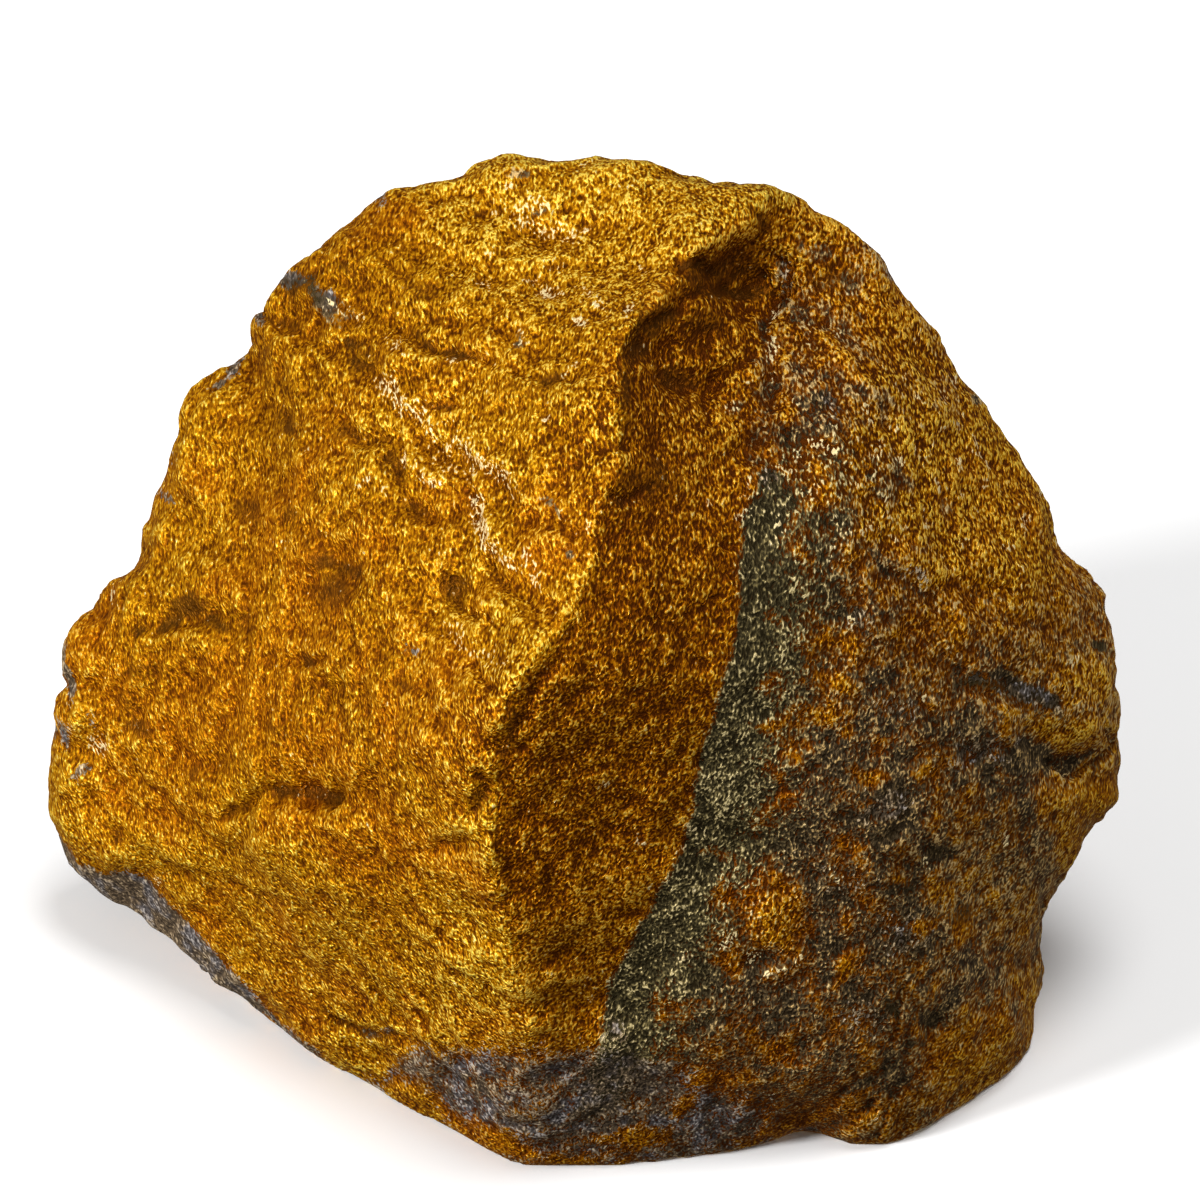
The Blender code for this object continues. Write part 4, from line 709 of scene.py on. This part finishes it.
def highlight_marks(marks, streaks):
    """Painted highlights: silvery streaks, small glints on the upper right-hand faces, the hidden side's
    flecks.
    """
    glints = 0.86 * smooth_step(noise_at(marks.places, *GLINTS), 0.18, 0.48)
    glints *= smooth_step(marks.past_edge, -1.0, 1.0) * smooth_step(marks.up, 4.0, 10.0)
    hidden_highlights = 0.8 * smooth_step(noise_at(marks.places, *HIDDEN_HIGHLIGHTS), 0.45, 0.65)
    return marks.shown_or_hidden(np.maximum(streaks, glints), hidden_highlights)


def rust_marks(marks):
    """Where the gold turns rusty: in clouds away from the top, past the ridge, and in spots."""
    past_edge = marks.past_edge
    near_top = smooth_step(marks.up + 0.35 * marks.right, 6.0, 20.0) * smooth_step(-past_edge, 0.0, 4.0)
    clouds = smooth_step(marks.small + marks.broad, -0.5, 0.9) * (1.0 - 0.8 * near_top)
    past_ridge = 0.85 * smooth_step(past(marks.ragged, RIDGE), -0.2, 0.8)
    past_ridge *= 1.0 - 0.5 * smooth_step(past_edge, 0.0, 2.0)
    rusty = np.maximum(np.maximum(clouds, past_ridge), marks.spots(RUST_SPOTS))
    return marks.shown_or_hidden(rusty * (1.0 - marks.spots(YELLOW_SPOTS)), clouds)


def relief_shade_marks(surface):
    """Painted shade from the relief: how far each point stands out from its surroundings; 0.5 is level with
    them.
    """
    out = np.sum((surface.places - surface.blurred(surface.places, RELIEF_SHADE_BLUR)) * surface.normals, axis=1)
    return 0.5 + out / RELIEF_SHADE_RANGE


def green_marks(marks):
    """Where the grey rock is greenish: in a band along its edge, and in patches on the hidden side."""
    band = smooth_step(marks.past_edge, -1.0, 0.0) * (1.0 - smooth_step(marks.past_edge, 2.5, 6.5))
    band *= smooth_step(14.0 - marks.up, 0.0, 2.0)
    return marks.shown_or_hidden(band, 0.5 + marks.broad)


def paint(stone, surface):
    """Stores on each point its rock, marks, painted shade and highlights, how lively its grain is and how
    pale it is.
    """
    marks = Marks(surface)
    # painted highlights with places of their own
    streaks = placed_highlights(marks)
    patches = [grey_marks(marks), film_marks(marks), stain_and_shade_marks(marks), highlight_marks(marks, streaks)]
    write_attribute(stone.data, "patches", patches)
    # rust, painted shade from the relief, and the green share
    write_attribute(stone.data, "forms", [rust_marks(marks), relief_shade_marks(surface), green_marks(marks)])
    lively = marks.shown_or_hidden(zoned(marks.flat, LIVELY), 0.5)
    # paleness: the zones' own tone and painted shade, brightened beside the painted highlights
    pale = marks.shown_or_hidden(zoned(marks.flat, PALE_AND_SHADE) + 0.08 * streaks, 0.5 + 0.2 * marks.broad)
    write_attribute(stone.data, "grain", [lively, pale])


class Nodes:
    """A material's nodes, made one call each."""

    def __init__(self, name):
        self.material = bpy.data.materials.new(name)
        self.material.use_nodes = True
        self.tree = self.material.node_tree
        self.shader = self.tree.nodes["Principled BSDF"]

    def add(self, kind, inputs, output=0, **settings):
        """A new node with its inputs wired or set, and its settings. Returns one of its outputs."""
        node = self.tree.nodes.new("ShaderNode" + kind)
        for name, value in settings.items():
            setattr(node, name, value)
        for key, value in inputs.items():
            self.feed(node.inputs[key], value)
        return node.outputs[output]

    def feed(self, socket, value):
        """Wires an output to a socket, or sets the socket to a plain value."""
        if isinstance(value, bpy.types.NodeSocket):
            self.tree.links.new(value, socket)
        else:
            socket.default_value = value

    def math(self, operation, a, b=0.0, c=0.0, clamp=False):
        return self.add("Math", {0: a, 1: b, 2: c}, operation=operation, use_clamp=clamp)

    def mix(self, share, a, b):
        """Colour a, turned to b by a share. The node's colours are its sockets 6 and 7, and its output 2."""
        return self.add("Mix", {"Factor": share, 6: a, 7: b}, output=2, data_type="RGBA")

    def ramp(self, value, stops):
        """A colour ramp over (place, colour) stops."""
        node = self.tree.nodes.new("ShaderNodeValToRGB")
        self.feed(node.inputs[0], value)
        elements = node.color_ramp.elements
        for place, _ in stops[2:]:
            elements.new(place)
        for element, (place, colour) in zip(sorted(elements, key=lambda e: e.position), sorted(stops)):
            element.position = place
            element.color = (*colour, 1.0)
        return node.outputs[0]

    def step(self, value, low, high):
        """0 below low, 1 above high, and smooth between."""
        limits = {"Value": value, "From Min": low, "From Max": high}
        return self.add("MapRange", limits, interpolation_type="SMOOTHSTEP")

    def noise(self, place, wavelength, detail=2.0, roughness=0.5, distortion=0.0):
        shape = {"Detail": detail, "Roughness": roughness, "Distortion": distortion}
        return self.add("TexNoise", {"Vector": place, "Scale": 1.0 / wavelength, **shape})


# The direction of the fine fibres, and of the streaks in the blue-grey film
FIBRE_RUN = (0.02, -0.81, -0.35)
FILM_RUN = (0.9, -0.3, 0.1)
# By what share the noises are drawn out along them
FIBRE_STRETCH = 0.5
FILM_STRETCH = 0.72
# Wavelengths of the finish's noises, in mm
STROKE_WAVE = 0.34
GRAIN_WAVE = 0.135
SPECKLE_WAVE = 0.6
CLUMP_WAVE = 1.5
STREAK_WAVE = 0.4
# How far the first four swing the rock's tone from dark to bright, and how far the surface's own highs and
# lows do, as painted light on what stands out and painted shade in hollows
STROKE_SWING = 0.36
GRAIN_SWING = 1.4
SPECKLE_SWING = 0.26
CLUMP_SWING = 0.3
RELIEF_SHADE_SWING = 0.42
STROKE_MIDDLE = 0.42  # the strokes' mean, which leaves the tone as it is
STROKE_SHARPNESS = 6.0  # how quickly a stroke fades to its sides
BUMP_HEIGHT = 0.16  # of the grains, in mm
# The share of it that each noise gives, and the share that the film takes away
GRAIN_BUMP = 0.6
STROKE_BUMP = 0.3
SPECKLE_BUMP = 0.5
FILM_SMOOTHNESS = 0.5
# The rock's gloss
METALLIC = 0.5
LESS_METALLIC = 0.2  # how much less so the grey rock and the film are
ROUGHNESS = 0.62
GRAIN_GLOSS = 0.2  # how much smoother the brightest grains are
SPECULAR = 0.12
# The rock's colours, each from its darkest grain to its brightest
GOLD = [
    (0.0, (0.057, 0.013, 0.0001)), (0.28, (0.135, 0.038, 0.0002)), (0.5, (0.26, 0.09, 0.0006)),
    (0.72, (0.43, 0.183, 0.002)), (0.9, (0.61, 0.32, 0.012)), (1.0, (0.78, 0.54, 0.07)),
]
ORANGE = [
    (0.0, (0.072, 0.014, 0.0001)), (0.28, (0.155, 0.037, 0.0002)), (0.5, (0.265, 0.074, 0.0004)),
    (0.72, (0.41, 0.14, 0.001)), (0.9, (0.58, 0.25, 0.006)), (1.0, (0.74, 0.4, 0.04)),
]
GREEN_GREY = [
    (0.0, (0.016, 0.012, 0.005)), (0.35, (0.036, 0.029, 0.013)), (0.55, (0.069, 0.054, 0.023)),
    (0.75, (0.156, 0.118, 0.044)), (0.92, (0.33, 0.258, 0.105)), (1.0, (0.63, 0.51, 0.25)),
]
BROWN_GREY = [
    (0.0, (0.016, 0.01, 0.005)), (0.35, (0.036, 0.025, 0.013)), (0.55, (0.068, 0.046, 0.023)),
    (0.75, (0.138, 0.088, 0.036)), (0.92, (0.28, 0.175, 0.062)), (1.0, (0.52, 0.34, 0.13)),
]
FILM = [
    (0.0, (0.026, 0.018, 0.012)), (0.35, (0.056, 0.04, 0.026)), (0.6, (0.103, 0.071, 0.042)),
    (0.8, (0.2, 0.138, 0.08)), (1.0, (0.47, 0.35, 0.21)),
]
BLUE_FILM = [
    (0.0, (0.022, 0.021, 0.024)), (0.35, (0.048, 0.046, 0.052)), (0.6, (0.085, 0.082, 0.092)),
    (0.8, (0.16, 0.16, 0.18)), (1.0, (0.42, 0.41, 0.42)),
]
# the olive-brown of the stains, also used as painted shade in hollows and cracks
STAIN_AND_SHADE_COLOUR = (0.045, 0.03, 0.004, 1.0)
STAIN_AND_SHADE_COVER = 0.34  # how much of the colour of the stains and painted shade covers the rock's
STAIN_AND_SHADE_DARKENING = 0.5  # how much the stains and painted shade darken the rock's tone
# the colour of the painted silvery highlights
HIGHLIGHT_SILVER = (0.78, 0.62, 0.32, 1.0)
BRONZE_GLINT = (1.0, 0.62, 0.2, 1.0)


def swing(n, value, gain, base=0.0):
    """The part of a noise above or below its middle, times a gain, added to base."""
    return n.math("MULTIPLY_ADD", n.math("SUBTRACT", value, 0.5), gain, base)


def drawn_out(n, in_mm, run, share):
    """The coordinates squeezed by a share along a direction, which draws a noise out along it."""
    run = Vector(run).normalized()
    along = n.add("VectorMath", {0: in_mm, 1: run}, output="Value", operation="DOT_PRODUCT")
    back = n.add("VectorMath", {0: -share * run, "Scale": along}, operation="SCALE")
    return n.add("VectorMath", {0: in_mm, 1: back}, operation="ADD")


def stored(n, name):
    """The four channels of a stored colour."""
    colour = n.add("Attribute", {}, output="Color", attribute_name=name)
    red, green, blue = n.add("SeparateColor", {0: colour}).node.outputs
    return red, green, blue, n.add("Attribute", {}, output="Alpha", attribute_name=name)


def fibres(n, place):
    """Thin winding strokes, some bright and some only faint."""
    wavy = n.noise(place, STROKE_WAVE, detail=1.0, roughness=0.4, distortion=0.7)
    off_line = n.math("ABSOLUTE", n.math("SUBTRACT", wavy, 0.5))
    return n.math("MULTIPLY_ADD", off_line, -STROKE_SHARPNESS, 1.0, clamp=True)


class Grains:
    """The noises of the rock's grains: fine fibres with strokes among them, specks and clumps."""

    def __init__(self, n, in_mm):
        along_fibres = drawn_out(n, in_mm, FIBRE_RUN, FIBRE_STRETCH)
        self.strokes = fibres(n, along_fibres)
        self.fine = n.noise(along_fibres, GRAIN_WAVE, detail=0.0, distortion=0.4)
        self.speckle = n.noise(in_mm, SPECKLE_WAVE, roughness=0.55)
        self.clumps = n.noise(in_mm, CLUMP_WAVE, detail=3.0, roughness=0.55)


def rock_tone(n, grains, relief_shade, lively, pale):
    """How bright each grain is, with painted shade: at 0 it has its colour ramp's darkest colour, and at 1
    the brightest.
    """
    tone = swing(n, grains.fine, GRAIN_SWING)
    tone = n.math("MULTIPLY_ADD", n.math("SUBTRACT", grains.strokes, STROKE_MIDDLE), STROKE_SWING, tone)
    tone = swing(n, grains.speckle, SPECKLE_SWING, tone)
    tone = swing(n, grains.clumps, CLUMP_SWING, tone)
    # painted light on what stands out and painted shade in hollows
    tone = swing(n, relief_shade, RELIEF_SHADE_SWING, tone)
    tone = n.math("MULTIPLY", tone, n.math("MULTIPLY", lively, 2.0))
    # paleness, which holds painted shade
    return n.math("ADD", tone, pale)


def film_finish(n, in_mm, grains, tone):
    """The colour of the film: brown-grey with soft streaks, some of them bluer."""
    streaky = n.noise(drawn_out(n, in_mm, FILM_RUN, FILM_STRETCH), STREAK_WAVE, detail=3.0, roughness=0.6)
    film_tone = swing(n, streaky, 0.7, swing(n, tone, 1.0, 0.48))
    bluer = n.step(swing(n, streaky, 0.8, swing(n, grains.clumps, 2.6, 0.5)), 0.45, 0.95)
    return n.mix(n.math("MULTIPLY", bluer, 0.7), n.ramp(film_tone, FILM), n.ramp(film_tone, BLUE_FILM))


def bump(n, grains, is_blue):
    """The grains' own fine relief, which is weaker under the film."""
    relief = n.math("MULTIPLY_ADD", grains.fine, GRAIN_BUMP, n.math("MULTIPLY", grains.strokes, STROKE_BUMP))
    relief = n.math("MULTIPLY_ADD", grains.speckle, SPECKLE_BUMP, relief)
    relief = n.math("MULTIPLY", relief, n.math("MULTIPLY_ADD", is_blue, -FILM_SMOOTHNESS, 1.0))
    return n.add("Bump", {"Height": relief, "Strength": 1.0, "Distance": BUMP_HEIGHT * MM})


def bronzite_finish():
    """Gold-brown fibrous grains with a bronze glint, grey-green, blue-grey and rusty patches, painted shade
    and highlights.
    """
    n = Nodes("bronzite")
    place = n.add("TexCoord", {}, output="Object")
    in_mm = n.add("VectorMath", {0: place, 1: (1.0 / MM,) * 3}, operation="MULTIPLY")
    grey, blue, stain_and_shade, highlight = stored(n, "patches")
    rust, relief_shade, green, _ = stored(n, "forms")
    lively, pale, _, _ = stored(n, "grain")
    grains = Grains(n, in_mm)
    tone = rock_tone(n, grains, relief_shade, lively, pale)

    # The marks' edges break up along the grains
    rough_stain_and_shade = n.math("ADD", stain_and_shade, swing(n, grains.speckle, 0.6, swing(n, grains.clumps, 0.6)))
    is_stain_and_shade = n.step(rough_stain_and_shade, 0.05, 1.0)
    ragged = swing(n, grains.fine, 1.6, swing(n, grains.speckle, 1.0, swing(n, grains.clumps, 0.7, -0.3)))
    is_grey = n.step(n.math("MULTIPLY_ADD", grey, 1.6, ragged), 0.25, 0.75)
    is_blue = n.step(n.math("MULTIPLY_ADD", blue, 1.6, ragged), 0.3, 0.7)
    # painted silvery highlights, broken up along the grains
    flecked = swing(n, grains.fine, 2.2, swing(n, grains.speckle, 1.2, swing(n, grains.strokes, 0.6)))
    is_highlight = n.step(n.math("MULTIPLY_ADD", highlight, 0.95, flecked), 0.85, 1.25)

    # stains and painted shade darken the tone, and their colour partly covers the rock's
    tone = n.math("MULTIPLY", tone, n.math("MULTIPLY_ADD", is_stain_and_shade, -STAIN_AND_SHADE_DARKENING, 1.0))
    colour = n.mix(rust, n.ramp(tone, GOLD), n.ramp(tone, ORANGE))
    colour = n.mix(is_grey, colour, n.mix(green, n.ramp(tone, BROWN_GREY), n.ramp(tone, GREEN_GREY)))
    colour = n.mix(is_blue, colour, film_finish(n, in_mm, grains, tone))
    colour = n.mix(n.math("MULTIPLY", is_stain_and_shade, STAIN_AND_SHADE_COVER), colour, STAIN_AND_SHADE_COLOUR)
    # painted highlights over all the rest
    colour = n.mix(is_highlight, colour, HIGHLIGHT_SILVER)
    n.feed(n.shader.inputs["Base Color"], colour)

    covered = n.math("MAXIMUM", is_grey, is_blue)
    n.feed(n.shader.inputs["Metallic"], n.math("MULTIPLY_ADD", covered, -LESS_METALLIC, METALLIC))
    n.feed(n.shader.inputs["Roughness"], n.math("MULTIPLY_ADD", grains.fine, -GRAIN_GLOSS, ROUGHNESS))
    n.feed(n.shader.inputs["Specular IOR Level"], SPECULAR)
    n.feed(n.shader.inputs["Specular Tint"], BRONZE_GLINT)
    n.feed(n.shader.inputs["Normal"], bump(n, grains, is_blue))
    return n.material


def stone_piece():
    """The stone with its fine relief, marks and finish, in place of the solid."""
    stone = fine_copy(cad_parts["bronzite_stone"], "stone")
    surface = roughen(stone)
    paint(stone, surface)
    select_only(stone)
    bpy.ops.object.shade_smooth()
    stone.data.materials.clear()
    stone.data.materials.append(bronzite_finish())
    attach(stone, "root")
    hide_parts("bronzite_stone")


# The camera, in metres
CAMERA_REACH = 0.9
CAMERA_CLIP = (0.01, 20.0)
FRAME_WIDTH = 0.060  # what the picture takes in at the stone
RIM_DEPTH = 0.008  # the stone's outline lies this far behind its drawing's origin
PICTURE_MIDDLE = (0.7, 5.0)  # the picture's middle in the drawing: right, up, in mm
# The studio, in metres
FLOOR_RADIUS = 4.0
LIT_MIDDLE = Vector((0.0, 0.0, 0.02))  # the point that the lights look at
# Each light: its direction from the stone, how far off it is, how wide it is, and its brightness, which is
# what a white surface that faces it would send back
LIGHTS = {
    "key": ((-0.8, -0.45, 0.4), 0.8, 0.22, 1.4),
    "top": ((0.2, 0.0, 1.0), 0.9, 0.6, 0.8),
    "fill": ((0.8, -0.5, 0.1), 0.9, 0.5, 0.17),
}
ROOM_BRIGHTNESS = 0.2
WHITE = (1.0, 1.0, 1.0, 1.0)
FLOOR_COLOUR = (0.94, 0.94, 0.94, 1.0)


def aim(obj, direction):
    """Turns a camera or light so that it looks against a direction from the stone."""
    obj.rotation_euler = Vector(direction).to_track_quat("Z", "Y").to_euler()


def add_camera():
    data = bpy.data.cameras.new("camera")
    data.lens = data.sensor_width * (CAMERA_REACH + RIM_DEPTH) / FRAME_WIDTH
    data.clip_start, data.clip_end = CAMERA_CLIP
    camera = bpy.data.objects.new("camera", data)
    bpy.context.scene.collection.objects.link(camera)
    middle = DRAWING_MIDDLE + PICTURE_MIDDLE[0] * RIGHT + PICTURE_MIDDLE[1] * UP
    camera.location = middle * MM + NEAR * CAMERA_REACH
    aim(camera, NEAR)
    bpy.context.scene.camera = camera


def add_light(name, direction, reach, width, brightness):
    """A round soft light."""
    data = bpy.data.lights.new(name, "AREA")
    data.shape = "DISK"
    data.size = width
    data.energy = brightness * (math.pi * reach) ** 2
    light = bpy.data.objects.new(name, data)
    bpy.context.scene.collection.objects.link(light)
    direction = Vector(direction).normalized()
    light.location = direction * reach + LIT_MIDDLE
    aim(light, direction)


def floor_finish():
    n = Nodes("pale floor")
    n.feed(n.shader.inputs["Base Color"], FLOOR_COLOUR)
    n.feed(n.shader.inputs["Roughness"], 0.9)
    n.feed(n.shader.inputs["Specular IOR Level"], 0.1)
    return n.material


def add_floor():
    """The pale floor, which throws no light back at the stone."""
    bpy.ops.object.select_all(action="DESELECT")
    bpy.ops.mesh.primitive_circle_add(vertices=64, radius=FLOOR_RADIUS, fill_type="NGON")
    floor = bpy.context.object
    floor.name = "floor"
    floor.data.materials.append(floor_finish())
    floor.visible_diffuse = False
    floor.visible_glossy = False


def add_room():
    """Even white light from all round, and colours shown as they are."""
    world = bpy.data.worlds.new("studio")
    world.use_nodes = True
    background = world.node_tree.nodes["Background"]
    background.inputs["Color"].default_value = WHITE
    background.inputs["Strength"].default_value = ROOM_BRIGHTNESS
    bpy.context.scene.world = world
    bpy.context.scene.view_settings.view_transform = "Standard"


stone_piece()
add_camera()
add_floor()
for light_name, light_values in LIGHTS.items():
    add_light(light_name, *light_values)
add_room()
